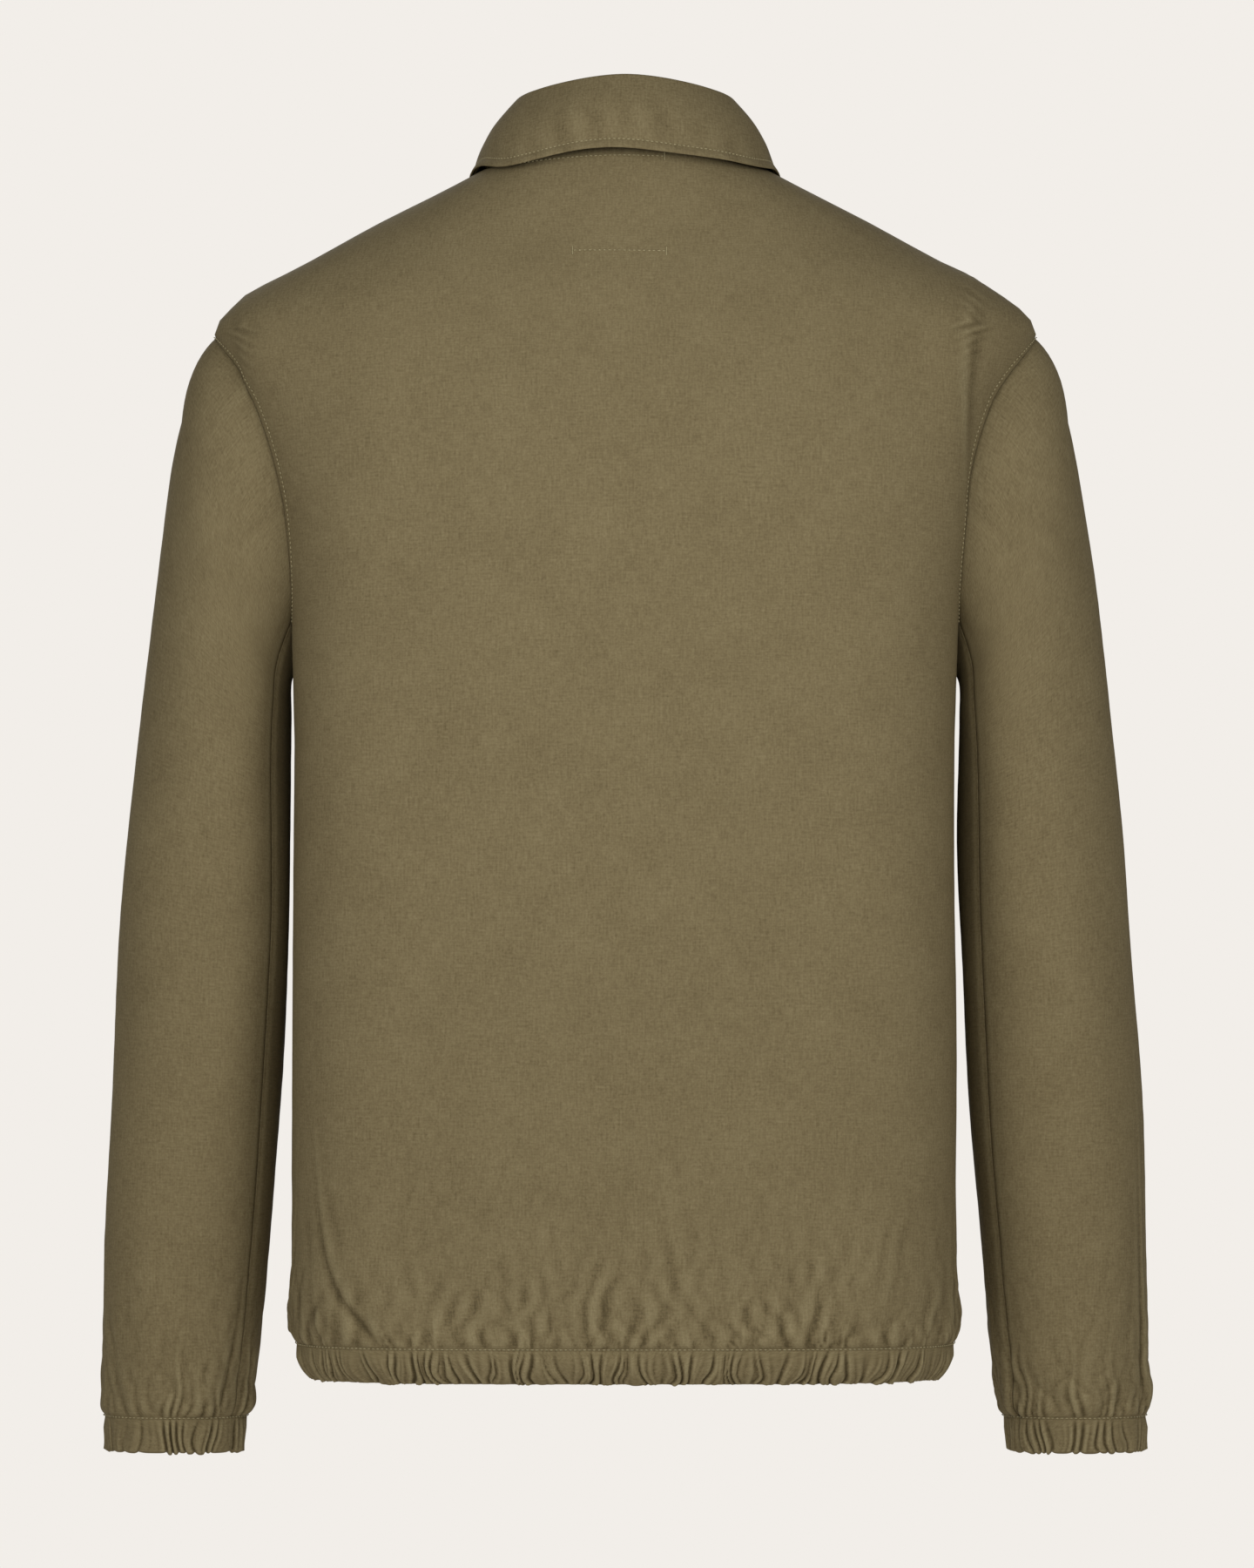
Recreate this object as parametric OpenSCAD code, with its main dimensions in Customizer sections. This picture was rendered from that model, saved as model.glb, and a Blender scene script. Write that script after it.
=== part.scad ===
// A light unlined cotton jacket with a turn-down collar, two-piece sleeves, elastic
// cuffs and hem, and a full-length separating front zip, as cut and sewn pieces. It
// hangs with the zip undone, and the slider rests on the box at the foot of the left
// chain. Each front swings open about a slanted fold, from the neck down to the hem.
// Units are millimetres. +Z is up, the wearer faces -Y, and the wearer's left is +X.
// The pieces are laid out about the wearer's own axis, and the whole jacket is then
// moved so that the origin is in the gap of the hanger loop, where a hook holds it.

/* [Body] */
// Length from the side of the neck down to the hem
body_length = 697; // [600:1:840]
// Width across the chest, from side seam to side seam
chest_width = 380; // [330:1:460]
// How far the back stands behind the wearer's axis at the chest
back_depth = 117; // [95:1:145]
// How far the closed front stands before the wearer's axis at the hem
front_depth = 116; // [95:1:145]
// How much nearer to the axis the front is at the neck than at the hem
front_lean = 20; // [10:1:26]
// Width from shoulder tip to shoulder tip
shoulder_width = 474; // [420:1:570]
// How far the shoulder tip is below the side of the neck
shoulder_drop = 98; // [80:1:118]
// How far the underarm is below the side of the neck
underarm_drop = 291; // [250:1:350]
// Width of the neck hole
neck_width = 160; // [140:1:192]
// How far the back of the neck hole is behind the axis
neck_back = 63; // [54:1:76]
// How far the front of the neck hole drops below its sides
neck_drop = 81; // [66:1:97]

// Distance from the middle line to each front's fold, at the hem
fold_hem = 98; // [82:1:106]

/* [Sleeve] */
// Drop of the hanging sleeve, from shoulder tip to cuff edge
sleeve_length = 645; // [540:1:775]
// Gap between the body's side and the inside of the hanging cuff
cuff_gap = 30; // [22:1:45]
// Depth of the hanging sleeve, front to back, at its widest
sleeve_depth = 128; // [106:1:150]
// Depth of the armhole, front to back
armhole_depth = 100; // [84:1:120]
// How far forward of the armhole the cuff hangs
sleeve_forward = 34; // [20:1:42]
// Width of the gathered cuff
cuff_width = 82; // [66:1:98]
// Height of the cuff band
cuff_height = 21; // [16:1:26]

/* [Hem] */
// Height of the hem band
hem_height = 21; // [16:1:28]
// How far the elastic pulls the hem's lower edge in at each side
hem_pull = 11; // [5:1:14]

/* [Collar] */
// Height of the collar stand at the back
stand_height = 38; // [32:1:48]
// How far the collar points reach down from the neck seam at the front
point_drop = 56; // [45:1:68]

/* [Cloth] */
// Thickness of one layer of shell cloth, with the seam allowances folded in
cloth = 1.2; // [1:0.1:1.5]
// Thickness of the elastic
elastic = 1.4; // [1:0.1:1.8]
// Thickness of labels, tapes and interlining
trim = 0.6; // [0.5:0.1:0.8]
// Gap left between two pieces that are sewn edge to edge
seam_gap = 0.3; // [0.2:0.1:0.5]
// Gap left between layers that lie on each other
layer_gap = 0.25; // [0.15:0.05:0.4]
// Gap between the shell and the labels, tapes and bags inside it
inner_gap = 0.9; // [0.8:0.1:1.1]
// Gap between each sleeve and the armhole it is sewn into
armhole_gap = 2; // [1.8:0.1:2.5]

/* [Pockets] */
// Length of the slanted hand opening
pocket_length = 150; // [125:1:180]
// Width of the welt that covers the opening
welt_width = 24; // [18:1:30]
// Distance from the front edge to the upper end of the welt
pocket_inset = 96; // [80:1:115]
// How much further out the lower end of the welt is
pocket_slant = 28; // [20:1:36]
// Depth of the pocket bag, from the welt towards the front edge
bag_width = 66; // [50:1:74]

/* [Front zip] */
// Distance between the two rows of teeth while the zip is undone
zip_part = 14; // [11:1:20]
// Pitch of the teeth on one chain
tooth_pitch = 3; // [2.6:0.1:3.6]
// Length of one tooth along the chain
tooth_length = 1.3; // [1:0.1:1.4]
// Thickness of the teeth
tooth_thick = 2.4; // [2:0.1:2.9]
// How far a tooth stands out from the bead that carries it
tooth_reach = 2.4; // [2:0.1:2.8]
// Width of the bead
bead_width = 1.2; // [1:0.1:1.5]
// Width of the tape past the bead
tape_width = 11; // [9:1:13]
// Thickness of the slider's plates and lips
plate_thick = 1; // [0.8:0.1:1.2]
// Width of the post between the slider's two channels
post_width = 1.6; // [1.3:0.1:1.9]
// Length of the slider's body
slider_length = 13; // [11:0.5:15.5]
// Gap between the slider's channel and the chain
slider_gap = 0.3; // [0.25:0.05:0.4]
// Height of the box and of the pin
box_height = 9; // [7.5:0.5:11]
// Width of the pin
pin_width = 1.4; // [1.2:0.1:1.6]
// Height of the top stops
stop_height = 3; // [2.5:0.5:4]
// Length of the pull from its hinge to its tip
pull_length = 27; // [22:1:32]
// Width of the pull
pull_width = 8.4; // [7:0.2:10]
// Thickness of the pull
pull_thick = 1.2; // [1:0.1:1.4]
// Radius of the pull's crossbar
crossbar_r = 0.95; // [0.8:0.05:1.1]
// Running gap between the crossbar and its eye
crossbar_gap = 0.08; // [0.05:0.01:0.1]

/* [Hanger loop and labels] */
// Width of the hanger loop between its sewn ends
loop_width = 64; // [54:1:76]
// Height of the hanger loop's tape
loop_height = 7; // [5:0.5:9]
// How far the loop's middle stands off the line between its ends
loop_slack = 4; // [3:0.5:6]
// Width of the neck label
label_width = 53; // [44:1:62]
// Height of the neck label
label_height = 56; // [46:1:66]
// Width of the tape over the neck seam
neck_tape_height = 9; // [7:1:12]

/* [Hidden] */

olive = [0.45, 0.40, 0.28];
olive_dark = [0.36, 0.32, 0.22];
tape_colour = [0.24, 0.22, 0.17];
metal_colour = [0.33, 0.31, 0.28];
label_colour = [0.20, 0.20, 0.17];
elastic_colour = [0.85, 0.84, 0.80];

half_chest = chest_width / 2;
half_shoulder = shoulder_width / 2;
half_neck = neck_width / 2;
neck_side_z = 1;
neck_back_z = 10;
neck_front_z = neck_side_z - neck_drop;
tip_z = neck_side_z - shoulder_drop;
underarm_z = neck_side_z - underarm_drop;
hem_z = -body_length;
hem_seam_z = hem_z + hem_height;

// The body is a stack of rings. Each is [half width, back depth, height at the back,
// height at the sides, height at the front, squareness], and the numbers between the
// named rings are shares of the way from one to the next. The front is never rounder
// than front_square, so that the zip lies flat in it.
front_square = 2.6;
function mix(a, b, f) = a + (b - a) * f;
function below(f) = mix(hem_seam_z, underarm_z, f);
function armhole_ring(width, back, side, front, depth, square) = [
    mix(half_chest, half_shoulder, width), mix(back_depth, neck_back, depth),
    mix(underarm_z, tip_z + 12, back), mix(underarm_z, tip_z, side),
    mix(underarm_z, neck_front_z - 58, front), square
];
function shoulder_ring(width, back, side, front, depth, square) = [
    mix(half_shoulder, half_neck, width), mix(back_depth, neck_back, depth),
    mix(tip_z + 12, neck_back_z, back), mix(tip_z, neck_side_z, side),
    mix(neck_front_z - 58, neck_front_z, front), square
];
rings = [
    [half_chest - hem_pull, back_depth - 16, hem_z, hem_z, hem_z, 3.6],
    [half_chest - 1, back_depth - 7, hem_seam_z, hem_seam_z, hem_seam_z, 3.6],
    [half_chest, back_depth - 5, below(0.2), below(0.2), below(0.2), 3.6],
    [half_chest, back_depth - 2, below(0.6), below(0.6), below(0.6), 3.6],
    armhole_ring(0, 0, 0, 0, 0, 3.6),
    armhole_ring(0.04, 0.27, 0.26, 0.30, 0.02, 3.5),
    armhole_ring(0.21, 0.54, 0.52, 0.56, 0.07, 3.2),
    armhole_ring(0.57, 0.78, 0.79, 0.79, 0.20, 2.8),
    armhole_ring(1, 1, 1, 1, 0.41, 2.4),
    shoulder_ring(0.135, 0.24, 0.255, 0.27, 0.54, 2.2),
    shoulder_ring(0.458, 0.50, 0.541, 0.60, 0.73, 2.1),
    shoulder_ring(1, 1, 1, 1, 1, 2)
];
hem_ring = 0;
hem_seam_ring = 1;
underarm_ring = 4;
tip_ring = 8;
neck_ring = 11;

// The front's middle line is straight, so that the zip can run along it.
front_slope = front_lean / (neck_front_z - hem_z);
function front_y(z) = -front_depth + (z - hem_z) * front_slope;

// A smooth curve through a list of numbers or points.
function through(p, t) = let(
    i = max(0, min(floor(t), len(p) - 2)), f = t - i,
    a = p[max(i - 1, 0)], b = p[i], c = p[i + 1], d = p[min(i + 2, len(p) - 1)])
    0.5 * (2 * b + (c - a) * f + (2 * a - 5 * b + 4 * c - d) * f * f
        + (3 * b - a - 3 * c + d) * f * f * f);

// The body's outer surface: turn is the angle from the middle of the back, positive
// towards the wearer's left, and level is the ring's number.
function body(turn, level) = let(
    r = through(rings, level), s = sin(turn), c = cos(turn),
    n = c < 0 ? max(r[5], front_square) : r[5],
    k = pow(pow(abs(s), n) + pow(abs(c), n), -1 / n),
    z = r[3] + ((c > 0 ? r[2] : r[4]) - r[3]) * c * c,
    depth = c > 0 ? r[1] : -front_y(r[4]))
    [r[0] * s * k, depth * c * k, z];

function unit(v) = v / norm(v);
step = 0.4;
function body_out(turn, level) = let(
    lo = max(hem_ring, level - step / 10), hi = min(neck_ring, level + step / 10))
    unit(cross(body(turn, hi) - body(turn, lo),
        body(turn + step, level) - body(turn - step, level)));
// A point under the body's surface, or over it where deep is negative.
function in_body(turn, level, deep) = body(turn, level) - deep * body_out(turn, level);

// The angle at which a ring is x from the middle line, in the back or in the front.
function turn_across(x, level, n) = let(p = min(0.999, x / through(rings, level)[0]))
    atan2(p, pow(1 - pow(p, n), 1 / n));
function turn_back(x, level) = turn_across(x, level, through(rings, level)[5]);
function turn_front(x, level) =
    180 - turn_across(x, level, max(front_square, through(rings, level)[5]));
// The angle at which a ring is y before or behind the wearer's axis.
function turn_depth(y, level, front) = let(
    r = through(rings, level), q = y / (front ? -front_y(r[4]) : r[1]),
    n = front ? max(front_square, r[5]) : r[5],
    a = atan2(pow(1 - pow(q, n), 1 / n), q))
    front ? 180 - a : a;

// The armhole runs round from the shoulder tip, by the back, to the underarm.
function armhole_level(round) = mix(underarm_ring, tip_ring, (1 + cos(round)) / 2);
function armhole_y(level) = let(f = 2 * (level - underarm_ring) / (tip_ring - underarm_ring) - 1)
    armhole_depth / 2 * sqrt(max(0, 1 - f * f));
function side_turn(level, front) =
    level > underarm_ring && level < tip_ring
    ? turn_depth(armhole_y(level), level, front) : 90;

round_step = 15;
panel_levels = concat(
    [for (i = [3:12]) i / 3],
    [for (a = [180 - round_step:-round_step:0]) armhole_level(a)],
    [for (i = [1:9]) tip_ring + i / 3]);
function inset(levels) = [for (l = levels)
    max(levels[0] + seam_gap / 20, min(levels[len(levels) - 1] - seam_gap / 20, l))];
side_gap_turn = 0.12;

// Each row is a closed loop of points: those of the outer face in order, then those of
// the inner face in the reverse order. Rows are joined into one closed solid, which is
// capped at its two ends, or joined round into a ring.
module cloth_solid(rows, joined = false) {
    m = len(rows[0]);
    n = len(rows);
    points = [for (row = rows) for (p = row) p];
    spans = joined ? n : n - 1;
    function at(i, j) = (i % n) * m + j % m;
    sides = [for (i = [0:spans - 1]) for (j = [0:m - 1]) each
        [[at(i, j), at(i, j + 1), at(i + 1, j + 1)], [at(i, j), at(i + 1, j + 1), at(i + 1, j)]]];
    caps = joined ? [] : [for (j = [0:m / 2 - 2]) each [
        [at(0, j), at(0, m - 2 - j), at(0, j + 1)], [at(0, j), at(0, m - 1 - j), at(0, m - 2 - j)],
        [at(n - 1, j), at(n - 1, j + 1), at(n - 1, m - 2 - j)],
        [at(n - 1, j), at(n - 1, m - 2 - j), at(n - 1, m - 1 - j)]]];
    polyhedron(points, concat(sides, caps));
}

module mirrored(side) {
    if (side > 0) children();
    else mirror([1, 0, 0]) children();
}

// A layer of the body, from the turn given for each level by start to that given by
// end, and between two depths under the surface.
function body_rows(levels, starts, ends, columns, outer, inner) = [
    for (i = [0:len(levels) - 1]) let(
        turns = [for (j = [0:columns]) mix(starts[i], ends[i], j / columns)])
        concat([for (a = turns) in_body(a, levels[i], outer)],
            [for (j = [columns:-1:0]) in_body(turns[j], levels[i], inner)])];

// The frame: everything is laid out about the wearer's axis, then moved so that the
// origin is where a hook holds the loop.
loop_z = neck_back_z - 16;
function level_of_back(z, lo = tip_ring, hi = neck_ring, n = 18) = n == 0 ? (lo + hi) / 2
    : let(m = (lo + hi) / 2) body(0, m)[2] < z
        ? level_of_back(z, m, hi, n - 1) : level_of_back(z, lo, m, n - 1);
tape_depth = cloth + inner_gap;
loop_at_level = level_of_back(loop_z);
loop_end = in_body(turn_back(loop_width / 2, loop_at_level), loop_at_level,
    tape_depth + trim + inner_gap);
loop_back = in_body(0, loop_at_level, tape_depth + trim);
loop_front_y = loop_end[1] - trim - loop_slack;
hook_y = (loop_front_y + loop_back[1]) / 2;
module placed() translate([0, -hook_y, -loop_z]) children();

// ---- Body ----

module back_panel() color(olive) placed() {
    levels = inset(panel_levels);
    turns = [for (l = panel_levels) side_turn(l, false) - side_gap_turn];
    cloth_solid(body_rows(levels, -turns, turns, 20, 0, cloth));
}

tooth_tip = zip_part / 2;
bead_inner = tooth_tip + tooth_reach;
bead_outer = bead_inner + bead_width;
edge_clear = 0.6;
front_edge = bead_outer + slider_gap + plate_thick + edge_clear;
// Each front is one cloth, in two solids that meet along its fold.
fold_neck = front_edge + 3;
function fold_turn(level) = let(z = through(rings, level)[4])
    turn_front(mix(fold_hem, fold_neck, (z - hem_z) / (neck_front_z - hem_z)), level);
fold_gap_turn = 0.08;
module front_panel(side) color(olive) placed() mirrored(side) {
    levels = inset(panel_levels);
    starts = [for (l = panel_levels) side_turn(l, true) + side_gap_turn];
    ends = [for (l = levels) fold_turn(l) - fold_gap_turn];
    cloth_solid(body_rows(levels, starts, ends, 10, 0, cloth));
}
module front_flap(side) color(olive) placed() mirrored(side) {
    levels = inset([for (i = [3:33]) i / 3]);
    cloth_solid(body_rows(levels, [for (l = levels) fold_turn(l) + fold_gap_turn],
        [for (l = levels) turn_front(front_edge, l)], 4, 0, cloth));
}

// The hem band is a strip folded over the elastic. It is cut where the fronts fold.
casing = 2 * cloth + elastic + 2 * layer_gap;
hem_fold = fold_turn(0.5);
casing_levels = [0.84, 0.5, 0.16];
module hem_strip(from, to, columns) {
    top = hem_seam_ring - 0.03;
    // [level, depth] along the band's outer face and along its inner face.
    face = concat([[top, 0]], [for (l = casing_levels) [l, 0]], [[0.05, 0], [0, casing / 4],
        [0, casing * 3 / 4], [0.05, casing]], [for (i = [2:-1:0]) [casing_levels[i], casing]],
        [[top, casing]]);
    lining = concat([[top, cloth]], [for (l = casing_levels) [l, cloth]], [[0.11, cloth],
        [0.075, casing / 2 - 0.2], [0.075, casing / 2 + 0.2], [0.11, casing - cloth]],
        [for (i = [2:-1:0]) [casing_levels[i], casing - cloth]], [[top, casing - cloth]]);
    cloth_solid([for (j = [0:columns]) let(a = mix(from, to, j / columns))
        concat([for (p = face) in_body(a, p[0], p[1])],
            [for (i = [len(lining) - 1:-1:0]) in_body(a, lining[i][0], lining[i][1])])]);
}
module elastic_strip(from, to, columns)
    cloth_solid([for (j = [0:columns]) let(a = mix(from, to, j / columns))
        concat([for (l = casing_levels) in_body(a, l, cloth + layer_gap)],
            [for (i = [2:-1:0]) in_body(a, casing_levels[i], cloth + layer_gap + elastic)])]);
hem_back_end = hem_fold - fold_gap_turn;
hem_side_start = hem_fold + fold_gap_turn;
hem_side_end = turn_front(front_edge, 0.5);
module hem_band_back() color(olive) placed() hem_strip(-hem_back_end, hem_back_end, 36);
module hem_elastic_back() color(elastic_colour) placed()
    elastic_strip(-hem_back_end, hem_back_end, 36);
module hem_band_side(side) color(olive) placed() mirrored(side)
    hem_strip(hem_side_start, hem_side_end, 5);
module hem_elastic_side(side) color(elastic_colour) placed() mirrored(side)
    elastic_strip(hem_side_start, turn_front(bead_outer + tape_width + 2 * edge_clear, 0.5), 5);

facing_width = 46;
facing_depth = cloth + trim + 2 * layer_gap;
// The facing stops short of the collar, so that it swings clear of the stand.
facing_top = neck_ring - 0.2;
module facing(side) color(olive_dark) placed() mirrored(side) {
    levels = inset([for (i = [0:30]) mix(hem_seam_ring, facing_top, i / 30)]);
    cloth_solid(body_rows(levels, [for (l = levels) turn_front(facing_width, l)],
        [for (l = levels) turn_front(front_edge, l)], 4, facing_depth, facing_depth + cloth));
}

// ---- Pockets ----

welt_low = 1.75;
function level_up(z0, length) = let(
    levels = [for (i = [0:200]) 1 + i * 0.02],
    found = [for (l = levels) if (body(180, l)[2] >= z0 + length) l]) found[0];
welt_bottom_z = body(180, welt_low)[2];
welt_high = level_up(welt_bottom_z, pocket_length);
pocket_levels = [for (i = [0:8]) mix(welt_low, welt_high, i / 8)];
function pocket_x(level) = pocket_inset
    + pocket_slant * (welt_high - level) / (welt_high - welt_low);
module pocket_welt(side) color(olive) placed() mirrored(side)
    cloth_solid(body_rows(pocket_levels,
        [for (l = pocket_levels) turn_front(pocket_x(l) + welt_width, l)],
        [for (l = pocket_levels) turn_front(pocket_x(l), l)], 3, -layer_gap - cloth, -layer_gap));

bag_turns = 6;
module pocket_bag(side) color(olive_dark) placed() mirrored(side) {
    low = welt_low - 0.4;
    levels = [for (i = [0:8]) mix(low, welt_high, i / 8)];
    cloth_solid(body_rows(levels, [for (l = levels) turn_front(pocket_inset + pocket_slant + welt_width, l)],
        [for (l = levels) turn_front(pocket_inset + welt_width - bag_width, l)], bag_turns,
        cloth + inner_gap, 2 * cloth + inner_gap));
}

// ---- Neck and collar ----

neck_tape_level = level_of_back(neck_back_z - neck_tape_height);
neck_tape_turn = 84;
module neck_tape() color(tape_colour) placed() {
    levels = [for (i = [0:3]) mix(neck_tape_level, neck_ring - 0.03, i / 3)];
    cloth_solid(body_rows(levels, [for (l = levels) -neck_tape_turn], [for (l = levels) neck_tape_turn], 20,
        tape_depth, tape_depth + trim));
}

label_top = neck_tape_level - 0.03;
module neck_label() color(label_colour) placed() {
    bottom = level_of_back(body(0, label_top)[2] - label_height, underarm_ring, neck_ring);
    levels = [for (i = [0:6]) mix(bottom, label_top, i / 6)];
    turns = [for (l = levels) turn_back(label_width / 2, l)];
    cloth_solid(body_rows(levels, -turns, turns, 6, tape_depth, tape_depth + trim));
}

// The loop is a bowed tape, sewn at its two ends to the neck tape.
module hanger_loop() color(tape_colour) placed() {
    bow = loop_slack;
    radius = (pow(loop_width / 2, 2) + bow * bow) / (2 * bow);
    half_angle = asin(loop_width / 2 / radius);
    translate([0, loop_end[1] - trim - bow + radius, loop_z - loop_height / 2])
        rotate([0, 0, -90 - half_angle])
            rotate_extrude(angle = 2 * half_angle, $fn = 96)
                translate([radius - trim / 2, 0]) square([trim, loop_height]);
}

// The care label hangs inside the left side seam.
care_low = 2.15;
care_high = 2.5;
care_width = 14;
module care_label() color(elastic_colour) placed() {
    levels = [for (i = [0:3]) mix(care_low, care_high, i / 3)];
    starts = [for (l = levels) turn_back(half_chest - 2 - care_width, l)];
    ends = [for (l = levels) turn_back(half_chest - 2, l)];
    cloth_solid(body_rows(levels, starts, ends, 4, tape_depth + 2 * inner_gap,
        tape_depth + 2 * inner_gap + trim));
}

// The collar at six stations from the middle of the back to the front edge: the turn,
// the height of the stand and how it leans in, and where the fall's edge is from the
// neck seam.
stations = [0, 45, 90, 125, 155, 176];
stand_heights = [1, 0.94, 0.78, 0.62, 0.4, 0.2] * stand_height;
fall_edges = [[0, 13, -2.5], [8, 9, -4.5], [6, 0, -1.6], [14.5, -11, -13],
    [28, -14, -0.54 * point_drop], [38, -14, -point_drop]];
stand_lean = [0.91, 0.84, 0.805, 0.89, 0.97, 0.99];
collar_base = seam_gap + 1.1;
seams = [for (a = stations) body(a, neck_ring) + [0, 0, collar_base]];
folds = [for (i = [0:5]) [seams[i][0] * stand_lean[i], seams[i][1] * stand_lean[i],
    seams[i][2] + stand_heights[i]]];
edges = [for (i = [0:5]) seams[i] + fall_edges[i]];
// The lists are continued past the middle of the back, so that the curve is square to it.
function whole(p) = [for (i = [-5:5]) i < 0 ? [-p[-i][0], p[-i][1], p[-i][2]] : p[i]];
whole_turns = [for (i = [-5:5]) i < 0 ? -stations[-i] : stations[i]];
function seam_at(w) = body(through(whole_turns, w), neck_ring) + [0, 0, collar_base];
whole_folds = whole(folds);
whole_edges = whole(edges);
function stand_at(w, v) = mix(seam_at(w), through(whole_folds, w), v);
// The fall rolls over the fold and stands a little proud between fold and edge.
roll = 3.2;
function fall_at(w, v) = let(
    a = through(whole_folds, w), b = through(whole_edges, w), out = unit([b[0], b[1], 0]))
    mix(a, b, v) + out * (roll * sin(180 * min(1, v * 1.15)) + 1.6) + [0, 0, 2.2 * cos(90 * v)];
// Near the collar's ends its layers stay parallel.
function fall_out(w0, v) = let(w = max(0.7, min(9.3, w0)))
    unit(cross(fall_at(w, min(1, v + 0.02)) - fall_at(w, max(0, v - 0.02)),
        fall_at(w + 0.05, v) - fall_at(w - 0.05, v)));
function stand_out(w, v) = unit(cross(stand_at(w, 0) - stand_at(w, 1),
    stand_at(min(10, w + 0.05), v) - stand_at(max(0, w - 0.05), v)));
collar_columns = 32;
collar_rows = 5;
module fall_layer(outer, inner, end = 1, top = 0) {
    cloth_solid([for (j = [0:collar_columns]) let(w = mix(9.98, 0.02, j / collar_columns))
        concat([for (i = [0:collar_rows]) let(v = mix(top, end, i / collar_rows))
                fall_at(w, v) + outer * fall_out(w, v)],
            [for (i = [collar_rows:-1:0]) let(v = mix(top, end, i / collar_rows))
                fall_at(w, v) + inner * fall_out(w, v)])]);
}
fall_turn = -1;
module collar_fall() color(olive) placed() fall_layer(0, fall_turn * cloth);
module collar_interlining() color(elastic_colour) placed()
    fall_layer(fall_turn * (cloth + layer_gap), fall_turn * (cloth + layer_gap + trim), 0.97, 0.08);
module under_collar() color(olive_dark) placed()
    fall_layer(fall_turn * (cloth + 2 * layer_gap + trim), fall_turn * (2 * cloth + 2 * layer_gap + trim),
        1, 0.08);
module collar_stand() color(olive_dark) placed()
    cloth_solid([for (j = [0:collar_columns]) let(w = mix(9.98, 0.02, j / collar_columns))
        concat([for (i = [0:3]) stand_at(w, i / 3)],
            [for (i = [3:-1:0]) stand_at(w, i / 3) + stand_out(w, i / 3) * cloth])]);

// ---- Sleeves ----

// Each ring is [outer x, outer z, inner x, inner z, depth, forward] as shares of the
// way from the armhole to the cuff seam, the depth as a share of the sleeve's.
sleeve_rings = [
    [0.29, 0.077, 0, 0.023, 0.906, 0.09], [0.48, 0.189, 0, 0.058, 0.97, 0.18],
    [0.634, 0.318, 0.02, 0.116, 1, 0.27], [0.824, 0.51, 0.04, 0.326, 0.97, 0.42],
    [0.947, 0.703, 0.25, 0.58, 0.875, 0.6], [1.008, 0.896, 0.65, 0.85, 0.75, 0.85],
    [1, 1, 1, 1, 0.5625, 0.97], [0.995, 1 + cuff_height / 623, 1.1, 1 + cuff_height / 430, 0.53, 1]
];
cuff_seam_z = tip_z - sleeve_length + cuff_height;
cuff_outer_x = half_chest + cuff_gap + cuff_width;
cuff_seam_ring = 7;
cuff_edge_ring = 8;
sleeve_clear = 3;
sleeve_square = 2.2;
function armhole_at(round) = let(
    level = armhole_level(round), front = round > 180, y = armhole_depth / 2 * abs(sin(round)),
    turn = abs(sin(round)) < 0.001 ? 90 : turn_depth(y, level, front))
    in_body(turn, level, -armhole_gap);
function sleeve_ring(i, round) = let(
    r = sleeve_rings[i - 1], n = sleeve_square, c = cos(round), s = sin(round),
    k = pow(pow(abs(c), n) + pow(abs(s), n), -1 / n),
    ox = mix(half_shoulder, cuff_outer_x, r[0]), ix = mix(half_chest + sleeve_clear,
        cuff_outer_x - cuff_width, r[2]),
    oz = i == cuff_edge_ring ? cuff_seam_z - cuff_height : mix(tip_z, cuff_seam_z, r[1]),
    iz = i == cuff_edge_ring ? cuff_seam_z - cuff_height : mix(underarm_z, cuff_seam_z, r[3]))
    [(ox + ix) / 2 + (ox - ix) / 2 * c * k, sleeve_depth / 2 * r[4] * s * k - sleeve_forward * r[5],
        (oz + iz) / 2 + (oz - iz) / 2 * c * k];
function sleeve(round, level) = through(
    concat([armhole_at(round)], [for (i = [1:cuff_edge_ring]) sleeve_ring(i, round)]), level);
function wrap(a) = a < 0 ? a + 360 : a >= 360 ? a - 360 : a;
function sleeve_out(round, level) = let(
    lo = max(0, level - 0.04), hi = min(cuff_edge_ring, level + 0.04))
    unit(cross(sleeve(round, lo) - sleeve(round, hi),
        sleeve(wrap(round + 2), level) - sleeve(wrap(round - 2), level)));
function in_sleeve(round, level, deep) =
    sleeve(wrap(round), level) - deep * sleeve_out(wrap(round), level);

// From the cuff seam up to the armhole
sleeve_levels = concat([cuff_seam_ring - 0.03, 6.75], [for (i = [13:-1:2]) i / 2], [0.7, 0.35, 0]);
hind_seam = 142;
fore_seam = 225;
sleeve_seam_turn = 0.25;
module sleeve_panel(from, to) {
    columns = round((to - from) / round_step);
    cloth_solid([for (l = sleeve_levels) let(
        turns = [for (j = [0:columns]) mix(from + sleeve_seam_turn, to - sleeve_seam_turn, j / columns)])
        concat([for (a = turns) in_sleeve(a, l, 0)],
            [for (j = [columns:-1:0]) in_sleeve(turns[j], l, cloth)])]);
}
module upper_sleeve(side) color(olive) placed() mirrored(side)
    sleeve_panel(fore_seam - 360, hind_seam);
module under_sleeve(side) color(olive_dark) placed() mirrored(side)
    sleeve_panel(hind_seam, fore_seam);

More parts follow.
